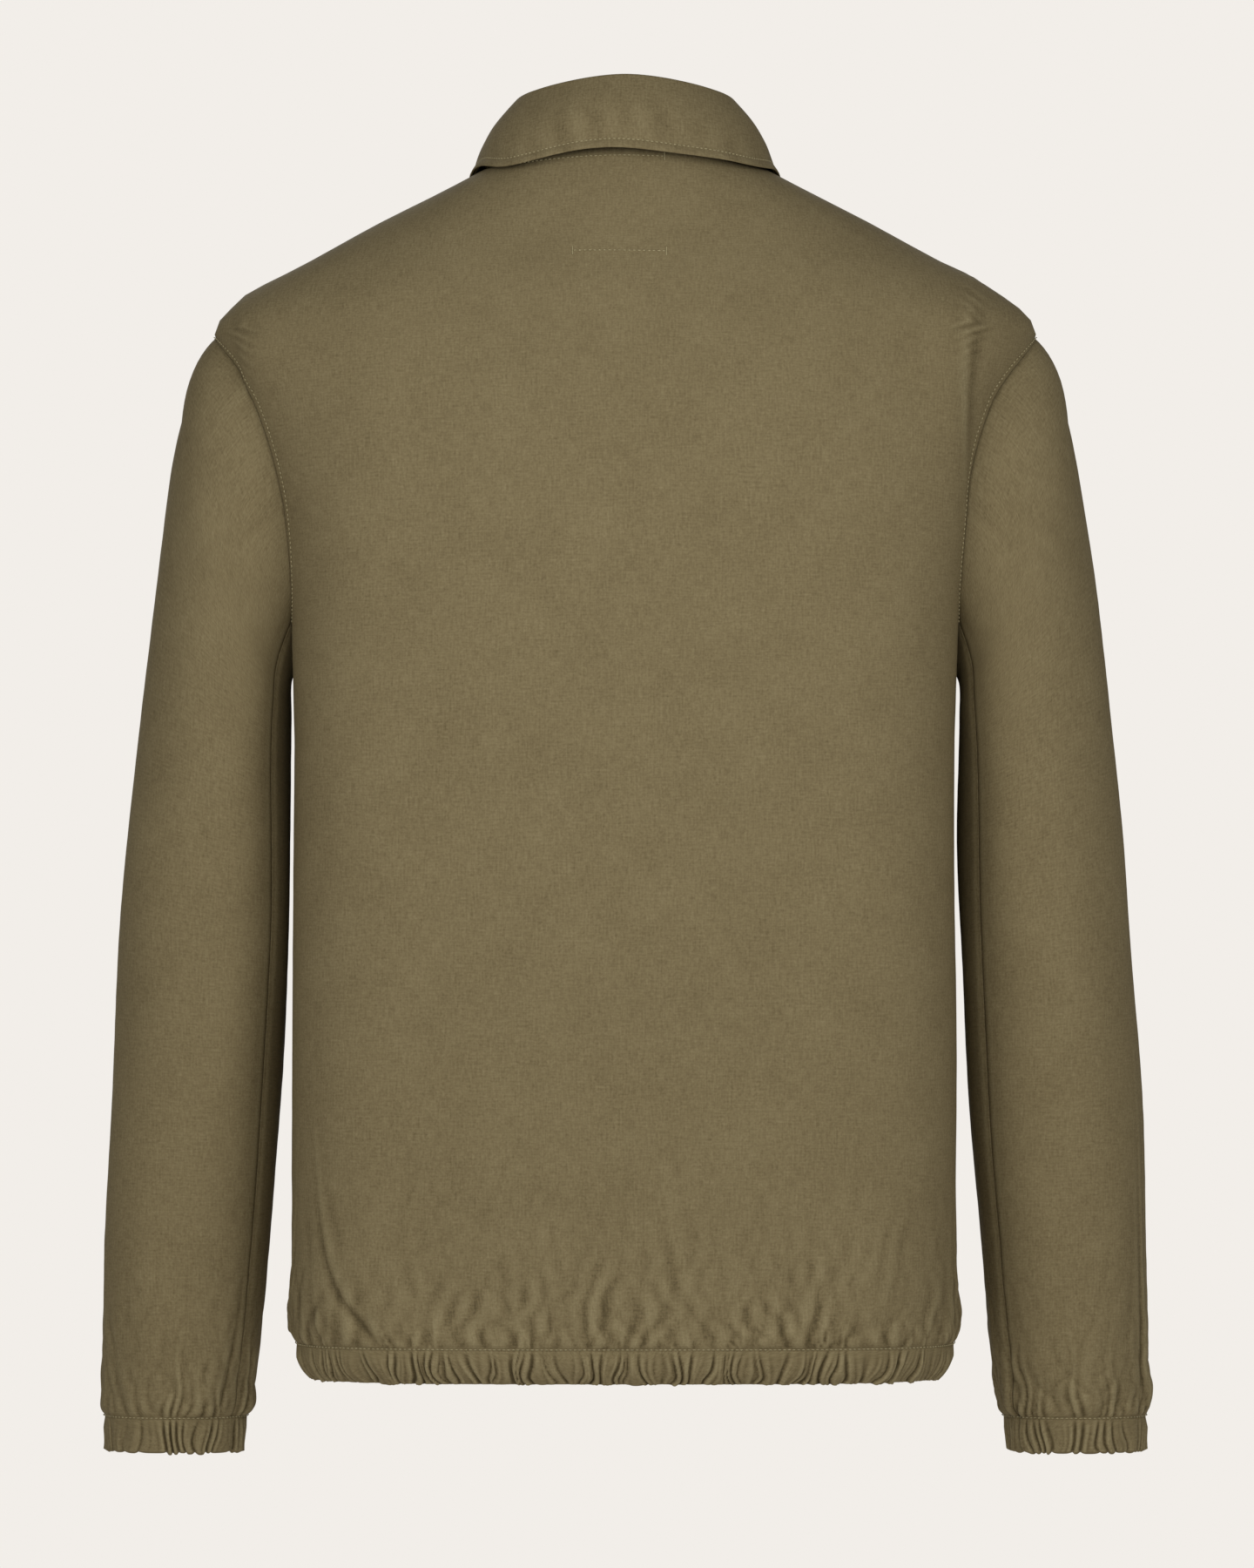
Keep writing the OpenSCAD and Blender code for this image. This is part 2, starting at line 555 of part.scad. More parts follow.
module cuff_band(side) color(olive) placed() mirrored(side) {
    top = cuff_seam_ring + 0.03;
    low = cuff_edge_ring - 0.1;
    face = [[top, 0], [7.5, 0], [low, 0], [8, casing / 4], [8, casing * 3 / 4], [low, casing],
        [7.5, casing], [top, casing]];
    lining = [[top, cloth], [7.5, cloth], [low - 0.03, cloth], [7.925, casing / 2 - 0.2],
        [7.925, casing / 2 + 0.2], [low - 0.03, casing - cloth], [7.5, casing - cloth],
        [top, casing - cloth]];
    cloth_solid([for (a = [0:round_step:345])
        concat([for (p = face) in_sleeve(a, p[0], p[1])],
            [for (i = [len(lining) - 1:-1:0]) in_sleeve(a, lining[i][0], lining[i][1])])], true);
}
module cuff_elastic(side) color(elastic_colour) placed() mirrored(side)
    cloth_solid([for (a = [0:round_step:345])
        concat([for (l = [7.12, 7.5, 7.84]) in_sleeve(a, l, cloth + layer_gap)],
            [for (l = [7.84, 7.5, 7.12]) in_sleeve(a, l, cloth + layer_gap + elastic)])], true);

// ---- Front zip ----

// In the zip's own frame the chains run down -Z, and the front of the jacket is -Y.
zip_top_z = neck_front_z - 16;
zip_bottom_z = hem_z + 5;
zip_angle = atan(front_slope);
chain_length = (zip_top_z - zip_bottom_z) / cos(zip_angle);
chain_depth = cloth + layer_gap + trim / 2;
module in_zip() translate([0, front_y(zip_top_z) + chain_depth, zip_top_z])
    rotate([-zip_angle, 0, 0]) children();
box_top = -chain_length + box_height;
stop_low = -stop_height;
chain_top = stop_low - seam_gap;
chain_foot = box_top + seam_gap;
teeth = floor((chain_top - chain_foot) / tooth_pitch);

// The tape lies under the edge of the front, and follows it.
tape_in = cloth + layer_gap;
tape_low = hem_ring + 0.15;
tape_high = neck_ring - 0.25;
module zip_tape(side) color(tape_colour) placed() mirrored(side) {
    levels = [for (i = [0:32]) mix(tape_low, tape_high, i / 32)];
    cloth_solid(body_rows(levels,
        [for (l = levels) turn_front(bead_outer + layer_gap + tape_width, l)],
        [for (l = levels) turn_front(bead_outer + layer_gap, l)], 2, tape_in, tape_in + trim));
}

// The bead and its teeth are one comb. The right comb is set half a pitch lower, so
// that the two mesh when the zip is done up.
module zip_teeth(side) color(metal_colour) placed() in_zip() mirrored(side)
    rotate([90, 0, 0]) translate([0, 0, -tooth_thick / 2])
        linear_extrude(tooth_thick) polygon(concat(
            [[bead_outer, chain_top], [bead_inner, chain_top]],
            [for (i = [0:teeth - 1]) let(
                z = chain_top - 0.2 - i * tooth_pitch - (side > 0 ? 0 : tooth_pitch / 2)) each
                [[bead_inner, z], [tooth_tip, z], [tooth_tip, z - tooth_length],
                    [bead_inner, z - tooth_length]]],
            [[bead_inner, chain_foot], [bead_outer, chain_foot]]));

module zip_top_stop(side) color(metal_colour) placed() in_zip() mirrored(side)
    translate([bead_inner - tooth_reach / 2, -tooth_thick / 2, stop_low])
        cube([bead_width + tooth_reach / 2, tooth_thick, stop_height]);

pin_depth = 1.4;
socket_gap = 0.2;
module zip_pin() color(metal_colour) placed() in_zip() mirrored(-1)
    translate([bead_outer - pin_width, -pin_depth / 2, box_top - box_height])
        cube([pin_width, pin_depth, box_height]);

// The box is fixed to the foot of the left chain. Its socket takes the pin where the
// right chain lies when the zip is done up.
box_wall = 0.9;
box_depth = tooth_thick + 1.6;
socket_right = tooth_tip - pin_width - 2 * socket_gap;
module zip_box() color(metal_colour) placed() in_zip() difference() {
    translate([socket_right - box_wall, -box_depth / 2, box_top - box_height])
        cube([bead_outer - socket_right + box_wall, box_depth, box_height]);
    // The socket for the pin
    translate([socket_right, -pin_depth / 2 - socket_gap, box_top - box_height + box_wall])
        cube([pin_width + 2 * socket_gap, pin_depth + 2 * socket_gap, box_height]);
}

// The slider has two plates joined by a post, with a channel on each side of it for a
// chain, and lips that leave a slit for each tape. It runs on the left chain.
channel = tooth_thick / 2 + slider_gap;
slider_x = tooth_tip - slider_gap - post_width / 2;
channel_half = bead_outer + slider_gap - slider_x;
slit = trim / 2 + slider_gap;
slider_low = box_top + seam_gap;
eye_width = 2.4;
eye_wall = 0.9;
eye_r = crossbar_r + crossbar_gap;
eye_foot = 3;
eye_y = -channel - plate_thick - eye_r - 0.45;
eye_z = slider_low + slider_length * 0.55;
lip_sink = 0.01;
module plate(front) {
    y = front ? -channel - plate_thick : channel;
    translate([-channel_half - plate_thick, y, 0])
        cube([2 * (channel_half + plate_thick), plate_thick, slider_length]);
    for (x = [-channel_half - plate_thick, channel_half])
        translate([x, front ? -channel - lip_sink : slit, 0])
            cube([plate_thick, channel - slit + lip_sink, slider_length]);
}
module zip_slider() color(metal_colour) placed() in_zip() translate([slider_x, 0, 0]) difference() {
    union() {
        translate([0, 0, slider_low]) {
            plate(true);
            plate(false);
            translate([-post_width / 2, -channel - lip_sink, slider_length * 0.4])
                cube([post_width, 2 * (channel + lip_sink), slider_length * 0.6]);
        }
        hull() {
            translate([-eye_width / 2, eye_y, eye_z]) rotate([0, 90, 0])
                cylinder(r = eye_r + eye_wall, h = eye_width, $fn = 32);
            translate([-eye_width / 2, -channel - plate_thick - lip_sink, eye_z - eye_foot])
                cube([eye_width, 2 * lip_sink, 2 * eye_foot]);
        }
    }
    translate([-eye_width, eye_y, eye_z]) rotate([0, 90, 0])
        cylinder(r = eye_r, h = 2 * eye_width, $fn = 32);
}

// The pull hangs on its crossbar, which turns in the slider's eye.
window_width = eye_width + 0.8;
window_length = eye_r + eye_wall + 2.2;
ear_top = 1.1;
pull_end = pull_width / 2;
module zip_pull() color(metal_colour) placed() in_zip() translate([slider_x, eye_y, eye_z]) {
    difference() {
        hull() {
            translate([-window_width / 2 - 1.3, -pull_thick / 2, -window_length])
                cube([window_width + 2.6, pull_thick, window_length + ear_top]);
            translate([0, pull_thick / 2, -pull_length + pull_end]) rotate([90, 0, 0])
                cylinder(r = pull_end, h = pull_thick, $fn = 32);
        }
        translate([-window_width / 2, -pull_thick, -window_length])
            cube([window_width, 2 * pull_thick, window_length + 2 * ear_top]);
        translate([0, pull_thick, -pull_length + pull_end]) rotate([90, 0, 0])
            cylinder(r = pull_end / 2, h = 2 * pull_thick, $fn = 32);
    }
    translate([-window_width / 2 - 0.5, 0, 0]) rotate([0, 90, 0])
        cylinder(r = crossbar_r, h = window_width + 1, $fn = 32);
}

back_panel();
front_panel(1);  // front_panel_left
front_panel(-1);  // front_panel_right
front_flap(1);  // front_flap_left
front_flap(-1);  // front_flap_right
hem_band_back();
hem_band_side(1);  // hem_band_left
hem_band_side(-1);  // hem_band_right
hem_elastic_back();
hem_elastic_side(1);  // hem_elastic_left
hem_elastic_side(-1);  // hem_elastic_right
facing(1);  // facing_left
facing(-1);  // facing_right
collar_fall();
collar_interlining();
under_collar();
collar_stand();
neck_tape();
neck_label();
hanger_loop();
care_label();
pocket_welt(1);  // pocket_welt_left
pocket_welt(-1);  // pocket_welt_right
pocket_bag(1);  // pocket_bag_left
pocket_bag(-1);  // pocket_bag_right
upper_sleeve(1);  // upper_sleeve_left
under_sleeve(1);  // under_sleeve_left
cuff_band(1);  // cuff_band_left
cuff_elastic(1);  // cuff_elastic_left
upper_sleeve(-1);  // upper_sleeve_right
under_sleeve(-1);  // under_sleeve_right
cuff_band(-1);  // cuff_band_right
cuff_elastic(-1);  // cuff_elastic_right
zip_tape(1);  // zip_tape_left
zip_tape(-1);  // zip_tape_right
zip_teeth(1);  // zip_teeth_left
zip_teeth(-1);  // zip_teeth_right
zip_top_stop(1);  // zip_top_stop_left
zip_top_stop(-1);  // zip_top_stop_right
zip_pin();
zip_box();
zip_slider();
zip_pull();
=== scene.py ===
import math

import bmesh
import bpy
import numpy as np
from mathutils import Matrix, Vector


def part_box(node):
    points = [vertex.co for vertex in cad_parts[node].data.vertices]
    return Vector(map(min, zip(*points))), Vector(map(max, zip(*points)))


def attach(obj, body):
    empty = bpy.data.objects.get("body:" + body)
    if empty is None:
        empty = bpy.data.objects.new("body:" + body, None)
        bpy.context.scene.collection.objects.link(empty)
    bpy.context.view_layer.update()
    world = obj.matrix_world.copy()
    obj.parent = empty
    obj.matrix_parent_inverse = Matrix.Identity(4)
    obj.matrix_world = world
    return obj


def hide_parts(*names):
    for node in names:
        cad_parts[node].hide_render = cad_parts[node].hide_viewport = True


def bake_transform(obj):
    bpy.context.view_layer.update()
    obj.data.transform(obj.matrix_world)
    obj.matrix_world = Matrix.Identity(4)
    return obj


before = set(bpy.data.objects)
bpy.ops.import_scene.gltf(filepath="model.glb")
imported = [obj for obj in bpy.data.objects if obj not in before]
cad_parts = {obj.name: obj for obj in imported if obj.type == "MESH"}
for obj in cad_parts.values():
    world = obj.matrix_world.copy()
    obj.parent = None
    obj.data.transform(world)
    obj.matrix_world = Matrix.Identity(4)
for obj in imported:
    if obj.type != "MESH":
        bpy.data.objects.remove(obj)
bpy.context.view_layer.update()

# ---- Olive cotton ----
# The shell is a light plain-weave cotton, garment-dyed olive and washed. The eye sees a
# matt cloth with fine yarn streaks, small dark and pale slubs, and a faint mottle where
# the dye has worn between brown and green.


def linear(code):
    """An sRGB hex colour as linear red, green, blue and alpha."""
    parts = [int(code[i : i + 2], 16) / 255 for i in (1, 3, 5)]
    return [p / 12.92 if p <= 0.04045 else ((p + 0.055) / 1.055) ** 2.4 for p in parts] + [1]


def node(tree, kind, settings=(), **links):
    """Adds a node with its settings, its colour stops if it has any, and its links."""
    new = tree.nodes.new(kind)
    for key, value in dict(settings).items():
        if key == "stops":
            elements = new.color_ramp.elements
            while len(elements) < len(value):
                elements.new(1)
            for element, (place, code) in zip(elements, value):
                element.position = place
                element.color = linear(code)
        elif hasattr(new, key):
            setattr(new, key, value)
        else:
            new.inputs[key].default_value = value
    for key, source in links.items():
        wanted = key.replace("_", " ")
        socket = next(s for s in new.inputs if s.name == wanted and s.enabled)
        tree.links.new(source, socket)
    return new


# Yarns are about 0.3 mm apart, which is too fine to show, so they are drawn 1 mm apart.
YARN_MM = 1.0
# A slub is a thick stretch of yarn, and shows as a streak about 9 mm long.
SLUB_MM = 9
MOTTLE_MM = 30


def new_material(name):
    """A material whose nodes are still to be made, and its tree."""
    material = bpy.data.materials.new(name)
    material.use_nodes = True
    material.node_tree.nodes.clear()
    return material, material.node_tree


def cloth_material(name, colours, yarn_mm=YARN_MM, roughness=0.88, weave=0.5):
    """Woven cloth: two sets of yarns with slubs along them, specks, a mottled dye, and painted
    shade in its creases and painted light on its ridges.
    """
    # The first colour is the painted shade of a crease, and the last the painted light of a ridge.
    crease, dark, middle, pale, ridge = colours
    material, tree = new_material(name)
    place = node(tree, "ShaderNodeTexCoord")
    uv, solid = place.outputs["UV"], place.outputs["Object"]
    fine, coarse = 1000 / yarn_mm, 1000 / SLUB_MM
    # Noise stretched along each set of yarns gives the yarns and their slubs.
    warp = node(tree, "ShaderNodeMapping", {"Scale": (fine, coarse, 1)}, Vector=uv)
    weft = node(tree, "ShaderNodeMapping", {"Scale": (coarse, fine, 1)}, Vector=uv)
    noise = {"Scale": 1.0, "Detail": 2.0, "Roughness": 0.6}
    along = node(tree, "ShaderNodeTexNoise", noise, Vector=warp.outputs[0])
    across = node(tree, "ShaderNodeTexNoise", noise, Vector=weft.outputs[0])
    both = node(tree, "ShaderNodeMix", {"Factor": 0.45}, A=along.outputs[0], B=across.outputs[0])
    speck = node(tree, "ShaderNodeTexNoise", {"Scale": fine * 0.7, "Detail": 1.0}, Vector=uv)
    grain = node(tree, "ShaderNodeMix", {"Factor": 0.35}, A=both.outputs[0], B=speck.outputs[0])
    mottle = node(
        tree,
        "ShaderNodeTexNoise",
        {"Scale": 1000 / MOTTLE_MM, "Detail": 5.0, "Roughness": 0.55},
        Vector=solid,
    )
    dye = node(tree, "ShaderNodeMix", {"Factor": 0.14}, A=grain.outputs[0], B=mottle.outputs[0])
    # Painted shade darkens the cloth in its creases, and painted light pales it on its ridges.
    relief = node(tree, "ShaderNodeAttribute", {"attribute_name": "relief"})
    dye_and_painted_shade = node(tree, "ShaderNodeMix", A=dye.outputs[0], B=relief.outputs["Fac"])
    colour = node(
        tree,
        "ShaderNodeValToRGB",
        {"stops": [(0.28, crease), (0.4, dark), (0.5, middle), (0.6, pale), (0.75, ridge)]},
        Fac=dye_and_painted_shade.outputs[0],
    )
    bump = node(
        tree,
        "ShaderNodeBump",
        {"Strength": weave, "Distance": 0.0004},
        Height=grain.outputs[0],
    )
    shader = node(
        tree,
        "ShaderNodeBsdfPrincipled",
        {
            "Roughness": roughness,
            "Specular IOR Level": 0.25,
            "Sheen Weight": 0.1,
            "Sheen Roughness": 0.6,
            "Sheen Tint": linear(pale),
        },
        Base_Color=colour.outputs[0],
        Normal=bump.outputs[0],
    )
    node(tree, "ShaderNodeOutputMaterial", Surface=shader.outputs[0])
    return material


# Each cloth's tones run from painted crease shade, through its dark, middle and pale dye, to
# painted ridge light.
olive_tones = ["#40371f", "#5f5338", "#7a6d4e", "#8c805f", "#a39874"]
olive = cloth_material("washed_olive_cotton", olive_tones)

# ---- Back panel ----
# The back is one cut of cloth from shoulder to hem, with no yoke and no centre seam. It
# is sewn to the fronts at the shoulders and sides, and to the sleeves at the armholes.

# The body is a stack of rings: half width, back depth, height at the back, at the sides
# and at the front, and squareness, in millimetres about the wearer's own axis.
CHEST, SHOULDER, NECK = 190, 237, 80
BACK_DEPTH, NECK_BACK = 117, 63
HEM, HEM_SEAM, UNDERARM, TIP = -697, -676, -290, -97
NECK_SIDE_Z, NECK_BACK_Z, NECK_FRONT_Z = 1, 10, -80
FRONT_DEPTH, FRONT_LEAN, FRONT_SQUARE = 116, 20, 2.6
HEM_PULL = 11
# The ring at the shoulder tip is higher at the back than at the front.
SHOULDER_BACK_Z, SHOULDER_FRONT_Z = TIP + 12, NECK_FRONT_Z - 58
MM = 0.001
# The frame's origin is in the hanger loop, so the body is moved to where the frame has it.
back_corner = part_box("back_panel")[1]
SHIFT = np.array([0, back_corner.y / MM - BACK_DEPTH, back_corner.z / MM - NECK_BACK_Z])


def mix(a, b, f):
    return a + (b - a) * f


def below(f):
    """The three heights of a level ring, as a share of the way from hem to underarm."""
    z = mix(HEM_SEAM, UNDERARM, f)
    return [z, z, z]


def armhole_ring(width, back, side, front, depth, square):
    """A ring between the underarm and the shoulder tip, as shares of the way."""
    return [
        mix(CHEST, SHOULDER, width),
        mix(BACK_DEPTH, NECK_BACK, depth),
        mix(UNDERARM, SHOULDER_BACK_Z, back),
        mix(UNDERARM, TIP, side),
        mix(UNDERARM, SHOULDER_FRONT_Z, front),
        square,
    ]


def shoulder_ring(width, back, side, front, depth, square):
    """A ring between the shoulder tip and the neck seam, as shares of the way."""
    return [
        mix(SHOULDER, NECK, width),
        mix(BACK_DEPTH, NECK_BACK, depth),
        mix(SHOULDER_BACK_Z, NECK_BACK_Z, back),
        mix(TIP, NECK_SIDE_Z, side),
        mix(SHOULDER_FRONT_Z, NECK_FRONT_Z, front),
        square,
    ]


RINGS = np.array(
    [
        [CHEST - HEM_PULL, BACK_DEPTH - 16, HEM, HEM, HEM, 3.6],
        [CHEST - 1, BACK_DEPTH - 7, HEM_SEAM, HEM_SEAM, HEM_SEAM, 3.6],
        [CHEST, BACK_DEPTH - 5, *below(0.2), 3.6],
        [CHEST, BACK_DEPTH - 2, *below(0.6), 3.6],
        armhole_ring(0, 0, 0, 0, 0, 3.6),
        armhole_ring(0.04, 0.27, 0.26, 0.30, 0.02, 3.5),
        armhole_ring(0.21, 0.54, 0.52, 0.56, 0.07, 3.2),
        armhole_ring(0.57, 0.78, 0.79, 0.79, 0.20, 2.8),
        armhole_ring(1, 1, 1, 1, 0.41, 2.4),
        shoulder_ring(0.135, 0.24, 0.255, 0.27, 0.54, 2.2),
        shoulder_ring(0.458, 0.50, 0.541, 0.60, 0.73, 2.1),
        shoulder_ring(1, 1, 1, 1, 1, 2),
    ]
)
SEAM_RING, UNDERARM_RING, TIP_RING, NECK_RING = 1, 4, 8, 11


def through(points, t):
    """A smooth curve through rows of points. Each t may have points of its own."""
    points = np.asarray(points, float)
    t = np.atleast_1d(np.asarray(t, float))
    i = np.clip(np.floor(t).astype(int), 0, len(points) - 2)
    last = len(points) - 1
    own = points.ndim == 3
    rows = [np.maximum(i - 1, 0), i, i + 1, np.minimum(i + 2, last)]
    a, b, c, d = [points[r, np.arange(len(t))] if own else points[r] for r in rows]
    f = (t - i).reshape(-1, *([1] * (a.ndim - 1)))
    return 0.5 * (
        2 * b + (c - a) * f + (2 * a - 5 * b + 4 * c - d) * f**2 + (3 * b - a - 3 * c + d) * f**3
    )


def front_depth(height):
    """The depth of the front, which leans in towards the neck."""
    slope = FRONT_LEAN / (NECK_FRONT_Z - HEM)
    return FRONT_DEPTH - (height - HEM) * slope


def body(turn, level):
    """The body's surface in millimetres. Turn is in degrees from the middle of the back,
    and level is the number of the ring, with shares between them."""
    turn, level = np.broadcast_arrays(np.atleast_1d(turn).astype(float), level)
    r = through(RINGS, level)
    s, c = np.sin(np.radians(turn)), np.cos(np.radians(turn))
    front = c < 0
    n = np.where(front, np.maximum(r[:, 5], FRONT_SQUARE), r[:, 5])
    k = (np.abs(s) ** n + np.abs(c) ** n) ** (-1 / n)
    z = r[:, 3] + (np.where(front, r[:, 4], r[:, 2]) - r[:, 3]) * c * c
    depth = np.where(front, front_depth(r[:, 4]), r[:, 1])
    return np.stack([r[:, 0] * s * k, depth * c * k, z], axis=1)


def unit(v):
    return v / np.linalg.norm(v, axis=-1, keepdims=True)


def body_out(turn, level):
    """The direction straight out of the body's surface."""
    step = 0.4
    turn, level = np.broadcast_arrays(np.atleast_1d(turn).astype(float), level)
    low, high = np.maximum(level - step / 10, 0), np.minimum(level + step / 10, NECK_RING)
    along = body(turn, high) - body(turn, low)
    across = body(turn + step, level) - body(turn - step, level)
    return unit(np.cross(along, across))


def turn_across(x, level, front):
    """The turn at which a ring is x millimetres from the middle line."""
    r = through(RINGS, level)
    n = np.maximum(r[:, 5], FRONT_SQUARE) if front else r[:, 5]
    p = np.clip(x / r[:, 0], -0.999, 0.999)
    a = np.degrees(np.arctan2(p, (1 - np.abs(p) ** n) ** (1 / n)))
    return 180 - a if front else a


ARMHOLE_DEPTH = 100


def side_turn(level, front):
    """Where the back or the front ends: at the side seam, or at the armhole."""
    level = np.atleast_1d(np.asarray(level, float))
    f = np.clip(2 * (level - UNDERARM_RING) / (TIP_RING - UNDERARM_RING) - 1, -1, 1)
    y = ARMHOLE_DEPTH / 2 * np.sqrt(1 - f * f)
    r = through(RINGS, level)
    depth = front_depth(r[:, 4]) if front else r[:, 1]
    n = np.maximum(r[:, 5], FRONT_SQUARE) if front else r[:, 5]
    q = y / depth
    a = np.degrees(np.arctan2((1 - q**n) ** (1 / n), q))
    return 180 - a if front else a


def even(points):
    """Each point's share of the way along their line, and the line's length."""
    length = np.concatenate([[0], np.cumsum(np.linalg.norm(np.diff(points, axis=0), axis=1))])
    return length / length[-1], length[-1]


ring_turns = np.linspace(-180, 180, 721)
ring_shares, HEM_AROUND = even(body(ring_turns, 1.0))


def around(turn):
    """Millimetres round the hem from the middle of the back, for a turn."""
    return np.interp(turn, ring_turns, (ring_shares - 0.5) * HEM_AROUND)


def ripple(points, size, seed):
    """A soft random wave from -1 to 1, about size millimetres from crest to crest."""
    random = np.random.default_rng(seed)
    total = np.zeros(len(points))
    for _ in range(14):
        way = unit(random.normal(size=3)) * 2 * math.pi / size * random.uniform(0.6, 1.5)
        total += np.sin(points @ way + random.uniform(0, 2 * math.pi))
    return total / 7


def puffs(along, seed, short, long, crisp=2.2):
    """Cloth bulging between creases a random distance apart: 0 in a crease, up to 1."""
    random = np.random.default_rng(seed)
    gaps = short + (long - short) * random.uniform(0, 1, 600) ** 2
    creases = np.cumsum(gaps) - gaps.sum() / 2
    i = np.clip(np.searchsorted(creases, along), 1, len(gaps) - 1)
    # A bulge leans to one side, so its creases aren't alike.
    lean = random.uniform(0.55, 1.8, 600)[i]
    t = np.clip((along - creases[i - 1]) / gaps[i], 0, 1) ** lean
    height = random.uniform(0.3, 1, 600)[i]
    reach = random.uniform(0.35, 1.6, 600)[i]
    return height * (1 - np.abs(2 * t - 1) ** crisp), reach


# The pleats of the hem are 2.4 to 14 mm apart, and most are close together.
HEM_PLEATS = {"seed": 3, "short": 2.4, "long": 14}


def hem_wander(along, height):
    """The hem's pleats run up and down, but wander by a millimetre or two."""
    return along + 2.2 * np.sin(along / 9 + height / 7) + 1.3 * np.sin(along / 4 - height / 4)


def hem_puckers(turn, p):
    """How far the gathered cloth above the hem seam stands out, in millimetres. The
    pleats, the longer puckers and the crumples each die away at their own height."""
    height = np.maximum(p[:, 2] - HEM_SEAM, 0)
    along = around(turn)
    small, reach = puffs(hem_wander(along, height), crisp=2.6, **HEM_PLEATS)
    lean = 8 * np.sin(along / 31) + 5 * np.sin(along / 17 + 1)
    large, long_reach = puffs(along + lean * height / 14, 4, 20, 55)
    crumple = np.abs(ripple(p * [1, 1, 0.8], 40, 9)) + 0.5 * np.abs(ripple(p, 19, 10))
    rise = 1 - np.exp(-height / 2)
    short = 2.5 * small * np.exp(-height / (8 * reach))
    long = 4.6 * large * np.exp(-height / (24 * long_reach)) * (1 - np.exp(-height / 9))
    loose = 4.2 * crumple * np.exp(-height / 30) * (1 - np.exp(-height / 6))
    return rise * (short + long + loose)


# A soft fold drops from each shoulder, where the back turns in to the armhole: its
# [height, distance from the middle line] on the wearer's left, 1, and right, -1.
FOLDS = {
    1: [[-640, 191], [-449, 191], [-269, 196], [-178, 206], [-131, 214], [-76, 219], [-40, 224]],
    -1: [[-640, 190], [-449, 190], [-208, 190], [-130, 191], [-101, 193], [-68, 199], [-30, 206]],
}


def drape(p):
    """How far that fold stands out, in millimetres. It dies away at both its ends."""
    out = np.zeros(len(p))
    for side, line in FOLDS.items():
        heights, places = np.array(line).T
        away = side * p[:, 0] - np.interp(p[:, 2], heights, places)
        near = np.where(away > 0, away / 5, away / 16)
        fade = np.clip((p[:, 2] + 330) / 120, 0, 1) * np.clip((-45 - p[:, 2]) / 60, 0, 1)
        out += np.where(side * p[:, 0] > 0, 3.2 * fade * np.exp(-(near**2)), 0)
    return out * (p[:, 1] > 0)


def shell(turn, level, lift=0.0):
    """The worn surface of the body with its folds, in metres. Lift is outwards, in mm."""
    turn, level = np.broadcast_arrays(np.atleast_1d(turn).astype(float), level)
    p, out = body(turn, level), body_out(turn, level)
    seam = np.clip((NECK_BACK_Z + 4 - p[:, 2]) / 40, 0, 1)
    edge = np.clip((p[:, 2] - HEM_SEAM) / 20, 0, 1)
    soft = 1.1 * ripple(p * [1, 1, 0.45], 95, 11) + 0.07 * ripple(p, 26, 12)
    # Long, shallow folds fall from the shoulder blades.
    long = 1.5 * np.sin(p[:, 0] / 27 + 0.8) * np.clip((-150 - p[:, 2]) / 250, 0, 1)
    stand = hem_puckers(turn, p) + drape(p) + (soft + long) * seam * edge
    return (p + out * (stand + lift)[:, None] + SHIFT) * MM


# A new piece is named for its CAD node, with this after it.
CLOTH = "_cloth"


def mean_around(grid, reach):
    """The mean of the points within reach along each point's row."""
    columns = grid.shape[1]
    wide = np.pad(grid, ((0, 0), (reach, reach), (0, 0)), mode="edge")
    total = sum(wide[:, step : step + columns] for step in range(2 * reach + 1))
    return total / (2 * reach + 1)


def relief_share(grid, outward):
    """How far each point stands above the cloth beside it, as a share that the material
    turns into painted shade in creases and painted light on ridges: 0.5 where it is level
    with it. The second mean takes away the sheet's own curve, because a smooth curve lifts
    a point above its means by reach * (reach + 1)."""
    near, wide = 4, 8
    curve = near * (near + 1) / (wide * (wide + 1))
    above = grid - mean_around(grid, near) - curve * (grid - mean_around(grid, wide))
    return np.clip(0.5 + 0.5 * (above * outward).sum(axis=2) / MM, 0.2, 0.68)


def add_object(name, bm, material):
    """Put the shape in bm into the scene, as an object of one material."""
    mesh = bpy.data.meshes.new(name)
    bm.to_mesh(mesh)
    bm.free()
    made = bpy.data.objects.new(name, mesh)
    bpy.context.scene.collection.objects.link(made)
    mesh.materials.append(material)
    return made


